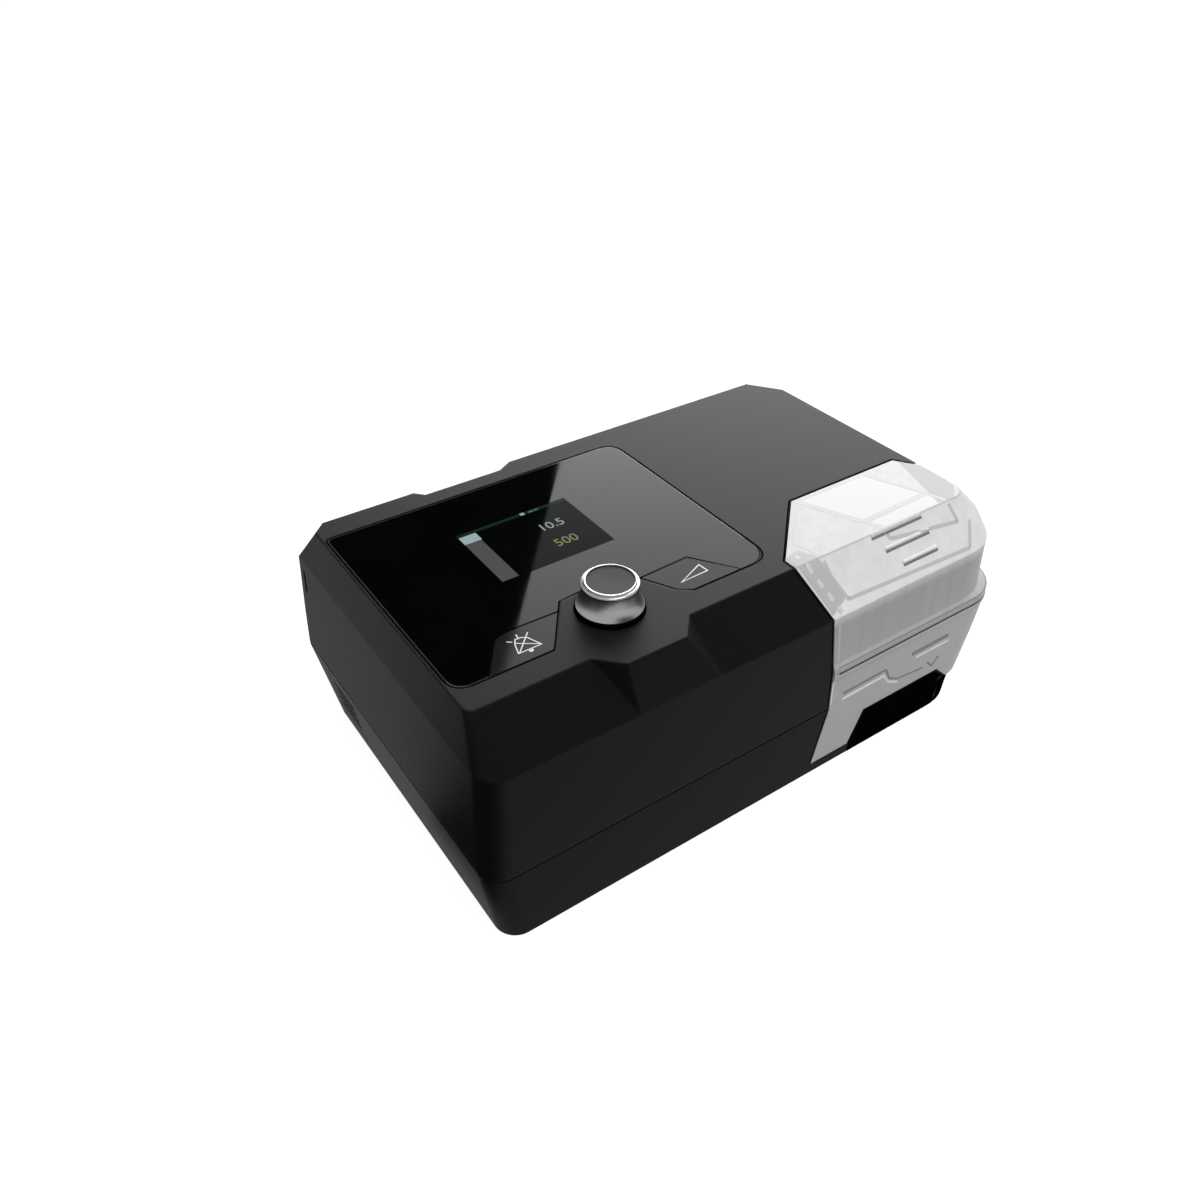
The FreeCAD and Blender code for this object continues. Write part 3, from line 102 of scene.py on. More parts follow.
def spread(m, source, low, high):
    """Maps a noise onto low to high."""
    node = m.node_tree.nodes.new("ShaderNodeMapRange")
    node.inputs["From Min"].default_value = NOISE_LOW
    node.inputs["From Max"].default_value = NOISE_HIGH
    node.inputs["To Min"].default_value = low
    node.inputs["To Max"].default_value = high
    m.node_tree.links.new(source, node.inputs["Value"])
    return node.outputs["Result"]


def tint(m, source, dark, light):
    """Base colour between dark and light."""
    ramp = m.node_tree.nodes.new("ShaderNodeValToRGB")
    for stop, position, color in zip(ramp.color_ramp.elements, (NOISE_LOW, NOISE_HIGH), (dark, light)):
        stop.position = position
        stop.color = (*color, 1)
    m.node_tree.links.new(source, ramp.inputs["Fac"])
    m.node_tree.links.new(ramp.outputs["Color"], m.node_tree.nodes[SHADER].inputs["Base Color"])


def rough(m, source, low, high):
    """Roughness between low and high."""
    target = m.node_tree.nodes[SHADER].inputs["Roughness"]
    m.node_tree.links.new(spread(m, source, low, high), target)


def bump(m, source, depth, soft_edge=0.0):
    """Bump of a depth in metres; soft_edge rounds the moulded edges."""
    tree = m.node_tree
    node = tree.nodes.new("ShaderNodeBump")
    node.inputs["Strength"].default_value = 1.0
    node.inputs["Distance"].default_value = depth
    tree.links.new(source, node.inputs["Height"])
    if soft_edge:
        bevel = tree.nodes.new("ShaderNodeBevel")
        bevel.samples = 6
        bevel.inputs["Radius"].default_value = soft_edge
        tree.links.new(bevel.outputs["Normal"], node.inputs["Normal"])
    tree.links.new(node.outputs["Normal"], tree.nodes[SHADER].inputs["Normal"])


def plastic(name, color, roughness, grain, depth, level, soft_edge=0.0):
    """Grained plastic with a faint mottle; level is its specular level."""
    m = principled(name, color, roughness, Specular_IOR_Level=level)
    tint(m, noise(m, 350, 4), tuple(c * 0.93 for c in color), tuple(c * 1.07 for c in color))
    rough(m, noise(m, 700, 3), roughness - 0.02, roughness + 0.02)
    bump(m, noise(m, grain, 2), depth, soft_edge)
    return m


def metal(name, color, roughness, stretch=(1, 1, 1), scale=700, depth=0.000004, **sockets):
    """Metal whose fine marks are stretched along an axis."""
    m = principled(name, color, roughness, 1.0, **sockets)
    rough(m, noise(m, scale, 3, stretch), roughness * 0.8, roughness * 1.25)
    bump(m, noise(m, scale * 1.7, 2, stretch), depth)
    return m


def smooth(name, color, roughness, level, marks, low, high, **sockets):
    """Surface without grain, its roughness between low and high; marks is a (scale, detail)."""
    m = principled(name, color, roughness, Specular_IOR_Level=level, **sockets)
    rough(m, noise(m, *marks), low, high)
    return m


CHARCOAL = (0.0062, 0.0062, 0.0064)
SCREEN_LEVEL = 0.007
FROST_IOR = 1.49

CASE = plastic("case_charcoal", CHARCOAL, 0.5, 2600, 0.000012, 0.046, 0.0014)
BASE = plastic("base_charcoal", CHARCOAL, 0.5, 2600, 0.000012, 0.033, 0.0006)
GLASS = smooth("panel_gloss", (0.0014, 0.0014, 0.0015), 0.03, 0.049, (40, 3), 0.02, 0.045)
CAP = smooth("cap_gloss", (0.011, 0.011, 0.0112), 0.07, 0.04, (60, 3), 0.05, 0.09)
SCREEN = smooth("screen_pane", (0.002, 0.0022, 0.0023), 0.04, SCREEN_LEVEL, (80, 3), 0.03, 0.05)
KNOB = metal("knob_turned", (0.33, 0.33, 0.333), 0.3, (1, 1, 26), 900, 0.000005, Anisotropic=0.6)
RIM = metal("knob_polished", (0.3, 0.3, 0.305), 0.26, (1, 1, 8), 500, 0.000001)
INLAY = plastic("knob_inlay", (0.018, 0.018, 0.0185), 0.42, 2400, 0.000008, 0.058)
BLACK = plastic("black_plastic", (0.012, 0.012, 0.0125), 0.45, 1500, 0.00001, 0.3)
GREY = plastic("grey_plastic", (0.2, 0.205, 0.21), 0.45, 1200, 0.00001, 0.4)
WHITE = plastic("white_plastic", (0.72, 0.72, 0.7), 0.4, 1200, 0.00001, 0.4)
SILICONE = plastic("silicone_grey", (0.52, 0.52, 0.5), 0.55, 900, 0.00001, 0.4)
RUBBER = plastic("foot_rubber", (0.022, 0.022, 0.022), 0.8, 1600, 0.00003, 0.3)
STEEL = metal("plated_steel", (0.56, 0.56, 0.57), 0.3)
PLATE = metal("plate_metal", (0.66, 0.66, 0.67), 0.38, (1, 30, 1), 500)
FIBRE = plastic("pressed_fibre", (0.62, 0.57, 0.46), 0.95, 700, 0.0001, 0.1)
FOAM = plastic("open_foam", (0.05, 0.05, 0.055), 0.95, 600, 0.0004, 0.1)
PAD = plastic("filter_pad", (0.75, 0.77, 0.8), 0.95, 900, 0.0003, 0.1)
BOARD = plastic("solder_mask", (0.01, 0.09, 0.035), 0.35, 800, 0.00001, 0.5)
MOTOR = plastic("motor_paint", (0.06, 0.06, 0.063), 0.4, 900, 0.00001, 0.5)
INK = smooth("pictogram_white", (0.72, 0.72, 0.72), 0.4, 0.2, (300, 2), 0.35, 0.45)
FROST = smooth("frosted_plastic", grey(0.66), 0.42, 0.4, (500, 3), 0.39, 0.45,
               IOR=FROST_IOR, Transmission_Weight=0.2)
bump(FROST, noise(FROST, 1500, 2), 0.00001, 0.0005)


def heights(m, levels, colors):
    """Base colour that changes with the height in millimetres, with faint upright streaks."""
    tree = m.node_tree
    coords = tree.nodes.new("ShaderNodeTexCoord")
    split = tree.nodes.new("ShaderNodeSeparateXYZ")
    share = tree.nodes.new("ShaderNodeMapRange")
    share.inputs["From Min"].default_value = levels[0] / 1000
    share.inputs["From Max"].default_value = levels[-1] / 1000
    ramp = tree.nodes.new("ShaderNodeValToRGB")
    span = levels[-1] - levels[0]
    stops = ramp.color_ramp.elements
    while len(stops) < len(levels):
        stops.new(0.5)
    for stop, level, color in zip(stops, levels, colors):
        stop.position = (level - levels[0]) / span
        stop.color = (*color, 1)
    tree.links.new(coords.outputs["Object"], split.inputs[0])
    tree.links.new(split.outputs["Z"], share.inputs["Value"])
    streaks = tree.nodes.new("ShaderNodeValToRGB")
    for stop, position, value in zip(streaks.color_ramp.elements, (0.35, 0.65), (0.93, 1.0)):
        stop.position = position
        stop.color = (value, value, value, 1)
    both = tree.nodes.new("ShaderNodeMix")
    both.data_type = "RGBA"
    both.blend_type = "MULTIPLY"
    both.inputs["Factor"].default_value = 1.0
    tree.links.new(noise(m, 210, 2, (1, 1, 0.03)), streaks.inputs["Fac"])
    tree.links.new(share.outputs["Result"], ramp.inputs["Fac"])
    # a colour mix has its two colours at 6 and 7, and its colour result at 2
    tree.links.new(ramp.outputs["Color"], both.inputs[6])
    tree.links.new(streaks.outputs["Color"], both.inputs[7])
    tree.links.new(both.outputs[2], tree.nodes[SHADER].inputs["Base Color"])


# painted light and shade by height: the lid's sloped front is painted lighter than its upright wall and
# its top
LID = smooth("frosted_lid", grey(0.8), 0.4, 0.13, (500, 3), 0.37, 0.43,
             IOR=FROST_IOR, Transmission_Weight=0.08)
heights(LID, [50, 76, 81.5, 100.8, 101.4], [grey(0.62), grey(0.57), grey(0.96), grey(0.92), grey(0.6)])
bump(LID, noise(LID, 1500, 2), 0.00001, 0.0005)

LOOKS = {
    "case": CASE, "panel_glass": GLASS, "screen": SCREEN, "cap": CAP,
    "knob_metal": KNOB, "knob_rim": RIM, "knob_inlay": INLAY, "frosted": FROST,
    "black_plastic": BLACK, "grey_plastic": GREY, "white_plastic": WHITE, "silicone": SILICONE,
    "foot_rubber": RUBBER, "steel": STEEL, "plate_metal": PLATE, "insulation": FIBRE,
    "foam": FOAM, "filter": PAD, "board": BOARD, "motor": MOTOR,
}
for part in frame["record"]["subparts"]:
    for holder in nodes[part["node"]].material_slots:
        holder.material = LOOKS[part["material_slot"]]
for name, look in (("chamber_lid", LID), ("lower_shell", BASE), ("filter_cover", BASE)):
    nodes[name].material_slots[0].material = look


# ---------------------------------------------------------------- pieces

def add_mesh(name, bm, material, body):
    """The finished piece of a bmesh, which rides on a body."""
    mesh = bpy.data.meshes.new(name)
    bm.normal_update()
    bm.to_mesh(mesh)
    bm.free()
    piece = bpy.data.objects.new(name, mesh)
    bpy.context.scene.collection.objects.link(piece)
    mesh.materials.append(material)
    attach(piece, body)
    return piece


SHARPEST = 0.35  # keeps a mitred corner from growing into a spike


def ribbon(bm, points, width, low, high, closed=False):
    """A flat printed line of a width along points in case millimetres."""
    half = width / 2
    count = len(points)
    flat = [Vector(p[:2]) for p in points]
    sides = []
    for i, p in enumerate(flat):
        before = flat[i - 1] if closed or i else None
        after = flat[(i + 1) % count] if closed or i < count - 1 else None
        a = (p - before).normalized() if before is not None else (after - p).normalized()
        b = (after - p).normalized() if after is not None else a
        tangent = (a + b).normalized()
        normal = Vector((-tangent.y, tangent.x))
        reach = half / max(SHARPEST, normal.dot(Vector((-a.y, a.x))))
        sides.append((p + normal * reach, p - normal * reach))
    rings = []
    for left, right in sides:
        rings.append([bm.verts.new(place(q.x, q.y, z)) for q, z in
                      ((left, low), (left, high), (right, high), (right, low))])
    spans = range(count) if closed else range(count - 1)
    for i in spans:
        a, b = rings[i], rings[(i + 1) % count]
        for k in range(4):
            bm.faces.new((a[k], a[(k + 1) % 4], b[(k + 1) % 4], b[k]))
    if not closed:
        bm.faces.new(rings[0][::-1])
        bm.faces.new(rings[-1])


def disc(bm, x, y, radius, low, high, count=24):
    """A flat round field."""
    top = [bm.verts.new(place(x + radius * math.cos(t), y + radius * math.sin(t), high))
           for t in (2 * math.pi * i / count for i in range(count))]
    foot = [bm.verts.new(Vector((v.co.x, v.co.y, low / 1000))) for v in top]
    bm.faces.new(top)
    for i in range(count):
        bm.faces.new((foot[i], foot[(i + 1) % count], top[(i + 1) % count], top[i]))


def slab(bm, corners, low, high):
    """A flat printed field with corners in case millimetres."""
    top = [bm.verts.new(place(x, y, high)) for x, y in corners]
    foot = [bm.verts.new(place(x, y, low)) for x, y in corners]
    bm.faces.new(top)
    for i in range(len(corners)):
        j = (i + 1) % len(corners)
        bm.faces.new((foot[i], foot[j], top[j], top[i]))


def top_of(node):
    """Height of a node's top in millimetres."""
    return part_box(node)[1][2] * 1000


def printed(name, material, body, lines):
    """A piece of flat lines: (points, width, low, high, closed) each."""
    bm = bmesh.new()
    for line in lines:
        ribbon(bm, *line)
    add_mesh(name, bm, material, body)


def fields(name, material, body, areas):
    """A piece of flat fields: (corners, low, high) each."""
    bm = bmesh.new()
    for area in areas:
        slab(bm, *area)
    add_mesh(name, bm, material, body)


PRINT, STROKE = 0.05, 0.42  # height of a print and width of its lines

# mute pictogram: a crossed bell with two short rays
z = top_of("mute_button")
bm = bmesh.new()
bell = [(31.6, 30.2), (33.0, 35.0), (34.4, 37.4), (36.8, 37.2), (38.6, 36.0), (40.9, 30.2)]
ribbon(bm, bell, STROKE, z, z + PRINT, True)
ribbon(bm, [(40.2, 38.4), (31.8, 30.0)], STROKE, z, z + 0.06)
ribbon(bm, [(33.4, 35.6), (40.9, 30.4)], 0.36, z, z + 0.055)
for ray in ([(31.3, 38.0), (32.9, 36.7)], [(36.1, 39.6), (35.7, 37.5)]):
    ribbon(bm, ray, STROKE, z, z + PRINT)
disc(bm, 36.2, 29.4, 0.9, z, z + PRINT)
add_mesh("mute_pictogram", bm, INK, "mute")

# ramp pictogram: an outline wedge
z = top_of("ramp_button")
printed("ramp_pictogram", INK, "ramp",
        [([(103.6, 31.2), (116.0, 36.4), (116.4, 31.6)], 0.5, z, z + PRINT, True)])


def lit(name, color, strength, roughness=0.06):
    """A lit patch of the display behind its glossy window."""
    m = smooth(name, (0.004, 0.004, 0.004), roughness, SCREEN_LEVEL, (80, 2),
               roughness * 0.8, roughness * 1.2, Emission_Strength=strength)
    m.node_tree.nodes[SHADER].inputs["Emission Color"].default_value = (*color, 1)
    return m


DIGIT_SHARE = 0.72  # height of a digit as a share of the font size


def text(name, words, x, y, height, material, z, lift=PRINT):
    """Flat digits that read along +x, their lower left corner at x, y."""
    curve = bpy.data.curves.new(name, "FONT")
    curve.body = words
    curve.size = height / 1000 / DIGIT_SHARE
    curve.extrude = lift / 2000
    curve.resolution_u = 4
    holder = bpy.data.objects.new(name, curve)
    bpy.context.scene.collection.objects.link(holder)
    bpy.context.view_layer.update()
    mesh = bpy.data.meshes.new_from_object(holder)
    bpy.data.objects.remove(holder)
    mesh.transform(Matrix.Translation(place(x, y, z + lift / 2)))
    mesh.name = name
    mesh.materials.clear()
    mesh.materials.append(material)
    piece = bpy.data.objects.new(name, mesh)
    bpy.context.scene.collection.objects.link(piece)
    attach(piece, "housing")


# display: a side bar with its lit tab, a header strip and two readings
z = top_of("lcd_screen")
READING = lit("display_white", (0.8, 0.93, 0.95), 0.36)
for name, look, (left, front, right, back), lift in (
    ("display_side_bar", lit("display_bar", (0.92, 0.95, 1.0), 0.08), (48.0, 69.2, 55.2, 98.4), 0.03),
    ("display_tab", lit("display_tab", (0.75, 0.95, 1.0), 0.42), (48.0, 98.4, 55.6, 103.9), 0.04),
    ("display_header", lit("display_header", (0.1, 0.75, 0.62), 0.028), (48.0, 104.2, 98.8, 105.9), 0.03),
    ("display_mark", READING, (77.2, 104.2, 79.2, 106.0), 0.05),
):
    corners = [(left, front), (right, front), (right, back), (left, back)]
    fields(name, look, "housing", [(corners, z, z + lift)])
text("display_clock_digits", "08:30", 81.0, 104.3, 1.5, lit("display_clock", (0.3, 0.75, 0.7), 0.3), z)
text("display_pressure_digits", "10.5", 78.0, 89.6, 5.0, READING, z)
text("display_volume_digits", "500", 77.8, 77.0, 5.1, lit("display_green", (0.62, 0.75, 0.3), 0.3), z)


# ---------------------------------------------------------------- chamber details

SUNK = 0.0001       # metres a line's edges lie under the surface
TOP_SHARE = 0.8     # width of a line's top as a share of its foot


def strip(bm, hits, width, height):
    """A raised line through (spot, normal) pairs on a surface."""
    rings = []
    for i, (spot, normal) in enumerate(hits):
        ahead = hits[min(i + 1, len(hits) - 1)][0] - hits[max(i - 1, 0)][0]
        side = normal.cross(ahead).normalized() * (width / 2000)
        up = normal * (height / 1000)
        sunk = normal * -SUNK
        rings.append([bm.verts.new(q) for q in (spot + side + sunk, spot + side * TOP_SHARE + up,
                                                spot - side * TOP_SHARE + up, spot - side + sunk)])
    for a, b in zip(rings, rings[1:]):
        for k in range(3):
            bm.faces.new((a[k], a[k + 1], b[k + 1], b[k]))
    if rings:
        bm.faces.new(rings[0][::-1])
        bm.faces.new(rings[-1])


def dense(path, step):
    """A path's points, with more between them about a step apart."""
    spots = []
    for (ax, ay), (bx, by) in zip(path, path[1:]):
        pieces = max(1, int(math.hypot(bx - ax, by - ay) / step))
        spots += [(ax + (bx - ax) * i / pieces, ay + (by - ay) * i / pieces) for i in range(pieces)]
    return spots + [path[-1]]


def down_hit(node, x, y):
    """Spot and normal where a ray straight down meets a node, or None."""
    found, spot, normal, _ = nodes[node].ray_cast(place(x, y, TOP_START), Vector((0, 0, -1)))
    return (spot, normal) if found else None


def front_hit(node, x, level):
    """The same for a ray from the front."""
    found, spot, normal, _ = nodes[node].ray_cast(place(x, FRONT_START, level), Vector((0, 1, 0)))
    return (spot, normal) if found else None


def side_hit(node, angle, level, pivot):
    """The same for a level ray towards a pivot, from an angle in radians."""
    way = Vector((math.cos(angle), math.sin(angle), 0))
    found, spot, normal, _ = nodes[node].ray_cast(place(*pivot, level) + way * SIDE_START, -way)
    return (spot, normal) if found else None


def drape(bm, node, path, along, width, height, step=1.5):
    """A moulded line of a width laid on a node's surface. along "z" takes x, y points seen from
    above, and "y" takes x, z points seen from the front."""
    hit = down_hit if along == "z" else front_hit
    hits = [hit(node, a, b) for a, b in dense(path, step)]
    strip(bm, [pair for pair in hits if pair], width, height)


def belt(bm, node, level, width, height, start, end, pivot=(215, 30), count=120):
    """A level line round the front and right of a node, from an angle to another about a pivot."""
    hits = [side_hit(node, math.radians(start + (end - start) * i / count), level, pivot)
            for i in range(count + 1)]
    strip(bm, [pair for pair in hits if pair], width, height)


def moulding(name, material, node, body, lines):
    """A piece of lines draped on a node: (path, along, width, height) and perhaps a step each."""
    bm = bmesh.new()
    for line in lines:
        drape(bm, node, *line)
    add_mesh(name, bm, material, body)


def frosted(name, value, roughness, level, low, high):
    """Plain frosted tone of the thin pieces on the chamber."""
    return smooth(name, grey(value), roughness, level, (300, 2), low, high, IOR=FROST_IOR)


LINE = frosted("frosted_line", 0.6, 0.4, 0.12, 0.36, 0.46)
STRIP = frosted("frosted_strip", 0.56, 0.4, 0.06, 0.36, 0.46)
TAB_AND_HIGHLIGHT = frosted("frosted_tab_and_highlight", 0.72, 0.4, 0.05, 0.36, 0.46)
BAND = frosted("frosted_band", 0.42, 0.4, 0.12, 0.36, 0.46)
SHADE = frosted("frosted_shade", 0.2, 0.45, 0.1, 0.4, 0.5)
SEAM = frosted("frosted_seam", 0.07, 0.5, 0.1, 0.45, 0.55)
DIP_SHADE = frosted("frosted_dip_shade", 0.33, 0.45, 0.1, 0.4, 0.5)
BRIGHT_PANEL = frosted("frosted_bright_panel", 0.72, 0.36, 0.1, 0.33, 0.39)
SHINE = frosted("frosted_shine", 0.97, 0.3, 0.2, 0.26, 0.36)
EDGE = plastic("edge_black", (0.002, 0.002, 0.002), 0.6, 1500, 0.00001, 0.0)

# edges of inner walls, as they show through the lid
moulding("lid_inner_lines", LINE, "chamber_lid", "lid", [(path, "z", 1.9, 0.06) for path in (
    [(178.3, 47.7), (190.1, 21.6)],
    [(190.1, 21.6), (228.3, 22.6)],
    [(217.9, 48.5), (229.0, 23.0)],
    [(228.6, 22.4), (233.8, 8.4)],
    [(233.8, 8.4), (195.6, 11.2)],
    [(195.4, 11.2), (190.4, 20.8)],
    [(175.9, 46.3), (156.6, 26.4), (159.2, 14.5), (160.6, 9.0), (165.1, 2.9)],
    [(165.1, 2.9), (235.7, 1.5)],
    [(235.7, 1.5), (240.7, 7.7)],
)])

# two brighter panels between them
fields("lid_bright_panels", BRIGHT_PANEL, "lid", [(corners, ROOF, ROOF + 0.03) for corners in (
    [(180.4, 47.6), (191.6, 23.4), (226.6, 24.3), (217.0, 47.6)],
    [(192.3, 20.4), (195.6, 14.4), (230.4, 14.4), (228.0, 21.4)],
)])


def between(left, right, count, columns):
    """Rows of points from one path to another, both with the same number of corners."""
    rows = []
    for i in range(len(left) - 1):
        for k in range(count + (i == len(left) - 2)):
            f = k / count
            a = Vector(left[i]).lerp(Vector(left[i + 1]), f)
            b = Vector(right[i]).lerp(Vector(right[i + 1]), f)
            rows.append([a.lerp(b, j / columns) for j in range(columns + 1)])
    return rows


def patch(bm, rows):
    """Faces between rows of spots, all of one length. Seen from outside, each row has the next
    one on its left. The faces aren't flat, and their first corner decides which way they fold."""
    grid = [[bm.verts.new(spot) for spot in row] for row in rows]
    for a, b in zip(grid, grid[1:]):
        for i in range(len(a) - 1):
            bm.faces.new((a[i], a[i + 1], b[i + 1], b[i]))


# strip down the left of the lid, just clear of it, with its row of light tabs
STRIP_LIFT = Vector((0, -0.5, 0.85)) * 0.00015
across = [[down_hit("chamber_lid", *spot)[0] + STRIP_LIFT for spot in row] for row in between(
    [(146.8, 20.4), (146.4, 18.0), (146.4, 14.2), (155.4, 1.0)],
    [(154.0, 22.0), (155.6, 18.6), (157.4, 14.2), (163.9, 3.4)], 8, 8)]
bm = bmesh.new()
patch(bm, zip(*across))
add_mesh("lid_left_strip", bm, STRIP, "lid")
moulding("lid_strip_tabs_and_edge_highlight", TAB_AND_HIGHLIGHT, "chamber_lid", "lid", [
    ([(150.6, 19.8), (150.6, 17.0)], "z", 2.4, 0.25, 0.6),
    ([(150.8, 14.0), (152.2, 11.4)], "z", 2.4, 0.25, 0.6),
    ([(153.6, 9.6), (154.9, 7.6)], "z", 2.4, 0.25, 0.6),
    ([(156.2, 6.0), (157.6, 4.0)], "z", 2.4, 0.25, 0.6),
    ([(158.8, 2.4), (160.0, 0.9)], "z", 2.4, 0.25, 0.6),
    # a painted highlight down the left edge of the lid's wall
    ([(158.4, 79.0), (160.6, 58.4)], "y", 1.4, 0.08),
])

# dark lines along the grip ribs, and a darker field at the right of the lid's top
moulding("lid_rib_shadows", SHADE, "chamber_lid", "lid", [
    ([(x, level), (x + length, level)], "y", 1.1, 0.12)
    for x, length, level in ((186.0, 29.0, 99.75), (191.0, 25.5, 93.9), (197.7, 20.4, 87.4))
])
fields("lid_side_band", BAND, "lid", [(
    [(239.0, 47.9), (231.5, 25.0), (227.0, 14.6), (237.0, 14.6),
     (243.4, 20.0), (244.6, 26.0), (244.6, 40.5), (241.4, 45.0)], ROOF, ROOF + 0.04)])

# dark lines along the seam of lid and tub
bm = bmesh.new()
belt(bm, "chamber_lid", 55.0, 0.8, 0.02, -150.5, 15)
add_mesh("lid_seam_shadow", bm, DIP_SHADE, "lid")
bm = bmesh.new()
belt(bm, "chamber_tub", 51.6, 1.1, 0.015, -151.5, 15)
add_mesh("tub_seam_shadow", bm, SEAM, "chamber")

# slots moulded in the tub's front: painted shade on their dark side, then painted highlight on their light
# side
moulding("tub_slot_shade", DIP_SHADE, "chamber_tub", "chamber", [
    ([(206.8, 40.2), (229.6, 40.4)], "y", 2.4, 0.12),
    ([(166.0, 38.9), (190.8, 39.4)], "y", 1.6, 0.12),
    ([(191.2, 39.2), (193.8, 33.4), (199.3, 30.4), (216.0, 28.4)], "y", 1.2, 0.12),
    ([(218.5, 30.2), (222.0, 26.4), (225.6, 30.6)], "y", 1.2, 0.12),
])
moulding("tub_slot_highlights", SHINE, "chamber_tub", "chamber", [
    ([(209.6, 37.0), (230.6, 37.0)], "y", 1.0, 0.16),
    ([(165.9, 35.6), (190.2, 36.2), (193.6, 31.4), (200.0, 28.0)], "y", 1.4, 0.16),
    # a painted highlight down the left edge of the tub's front
    ([(159.2, 48.6), (159.2, 36.0)], "y", 1.0, 0.1),
])

# painted shade: black lines on the case all round the chamber, beside its gap
moulding("bay_gap_shade", EDGE, "upper_shell", "housing", [
    ([(144.5, 14.2), (144.5, 19.7), (176.4, 51.1), (238.2, 51.1), (243.0, 44.2)], "z", 0.8, 0.03),
    ([(144.5, 13.8), (154.3, 0.3)], "z", 0.8, 0.03, 0.8),
    ([(154.5, 80.6), (157.8, 52.0), (157.8, 35.2)], "y", 0.8, 0.03),
])
moulding("bay_gap_shade_low", EDGE, "lower_shell", "housing", [
    ([(157.4, 32.0), (152.5, 6.2)], "y", 0.8, 0.03),
])


# ---------------------------------------------------------------- knob

KNOB_X, KNOB_Y = 72.5, 33.8


def lathe(bm, profile, count=96):
    """Turned ring about the knob's axis, from a closed profile of (radius, height over the roof)."""
    rings = []
    for r, h in profile:
        rings.append([bm.verts.new(place(KNOB_X + r * math.cos(a), KNOB_Y + r * math.sin(a), ROOF + h))
                      for a in (2 * math.pi * i / count for i in range(count))])
    for a, b in zip(rings, rings[1:] + rings[:1]):
        for i in range(count):
            bm.faces.new((a[i], a[(i + 1) % count], b[(i + 1) % count], b[i]))
    for face in bm.faces:
        face.smooth = True


def soften(piece, angle):
    """Smooth shading with hard edges over an angle in degrees."""
    bm = bmesh.new()
    bm.from_mesh(piece.data)
    bmesh.ops.recalc_face_normals(bm, faces=bm.faces)
    for edge in bm.edges:
        edge.smooth = edge.calc_face_angle(0) < math.radians(angle)
    bm.to_mesh(piece.data)
    bm.free()


# flared body of the dial
bm = bmesh.new()
lathe(bm, [(4.2, 1.3), (12.2, 1.3), (12.75, 2.2), (12.8, 2.4), (12.3, 3.1), (11.75, 4.1), (11.25, 5.4),
           (10.9, 6.9), (10.6, 8.6), (10.45, 10.2), (10.45, 10.6), (9.7, 10.6), (9.7, 9.9), (4.2, 9.9)])
body = add_mesh("knob_body", bm, KNOB, "knob")
soften(body, 30)
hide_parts("knob_grip")

# stepped rim round the inlay
bm = bmesh.new()
lathe(bm, [(9.75, 10.5), (10.5, 10.5), (10.85, 10.8), (10.9, 11.15), (10.75, 11.5), (10.35, 11.75),
           (9.9, 11.8), (9.7, 11.6), (9.6, 12.35), (9.5, 12.5), (9.15, 12.5), (9.03, 12.4), (9.03, 11.0),
           (9.75, 11.0)])
bezel = add_mesh("knob_bezel", bm, RIM, "knob")
soften(bezel, 50)
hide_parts("knob_ring")

# black foot, which clears the roof when the knob is pressed, and a black disc round it on the roof, a
# painted shadow
bm = bmesh.new()
lathe(bm, [(4.5, 0.7), (12.9, 0.7), (13.15, 0.9), (13.15, 2.0), (12.95, 2.2), (12.0, 2.2), (12.0, 1.2),
           (4.5, 1.2)])
soften(add_mesh("knob_foot", bm, EDGE, "knob"), 40)
bm = bmesh.new()
disc(bm, KNOB_X, KNOB_Y, 13.4, ROOF, ROOF + 0.03, 72)
add_mesh("knob_shadow_disc", bm, EDGE, "housing")


# ---------------------------------------------------------------- black face under the chamber

FACE_LIFT = 0.0001  # metres between the shell and the black face
CORNER = (232, 28)  # pivot of the shell's rounded corner at the right


def left_edge(level):
    """Left edge of the face: upright at its foot, and leaning to the right above."""
    return 174.9 + max(0, level - 5.6) * 0.417


def right_edge(level):
    """Right edge of its upper part, which gets wider downwards."""
    return 225.6 + (21.9 - level) * 1.05


def proud(hit):
    """A hit's spot, moved out to where the face lies."""
    spot, normal = hit
    return spot + normal * FACE_LIFT


def front_row(start, end, level, count):
    """Spots along the front of the lower shell."""
    return [proud(front_hit("lower_shell", start + (end - start) * i / count, level))
            for i in range(count + 1)]


bm = bmesh.new()
rows = []
for level in (1.06, 5.5, 8.5, 11.5, 14.4):
    corner = [proud(side_hit("lower_shell", math.radians(a), level, CORNER)) for a in range(-87, 31, 3)]
    rows.append(front_row(left_edge(level), CORNER[0], level, 12) + corner)
patch(bm, rows)
patch(bm, [front_row(left_edge(level), right_edge(level), level, 8) for level in (14.4, 17.0, 19.5, 21.5)])
add_mesh("platform_face", bm, EDGE, "housing")


# ---------------------------------------------------------------- glass details

EDGE_HIGHLIGHT = smooth("glass_edge", (0.045, 0.045, 0.046), 0.2, 0.15, (200, 2), 0.08, 0.16)


def rounded(corners, count=6):
    """Points of an outline whose (x, y, radius) corners are rounded."""
    points = []
    for i, (x, y, radius) in enumerate(corners):
        if not radius:
            points.append((x, y))
            continue
        here = Vector((x, y))
        back = (Vector(corners[i - 1][:2]) - here).normalized()
        ahead = (Vector(corners[(i + 1) % len(corners)][:2]) - here).normalized()
        for k in range(count + 1):
            f = k / count
            points.append(tuple(here + back * radius * (1 - f) ** 2 + ahead * radius * f ** 2))
    return points


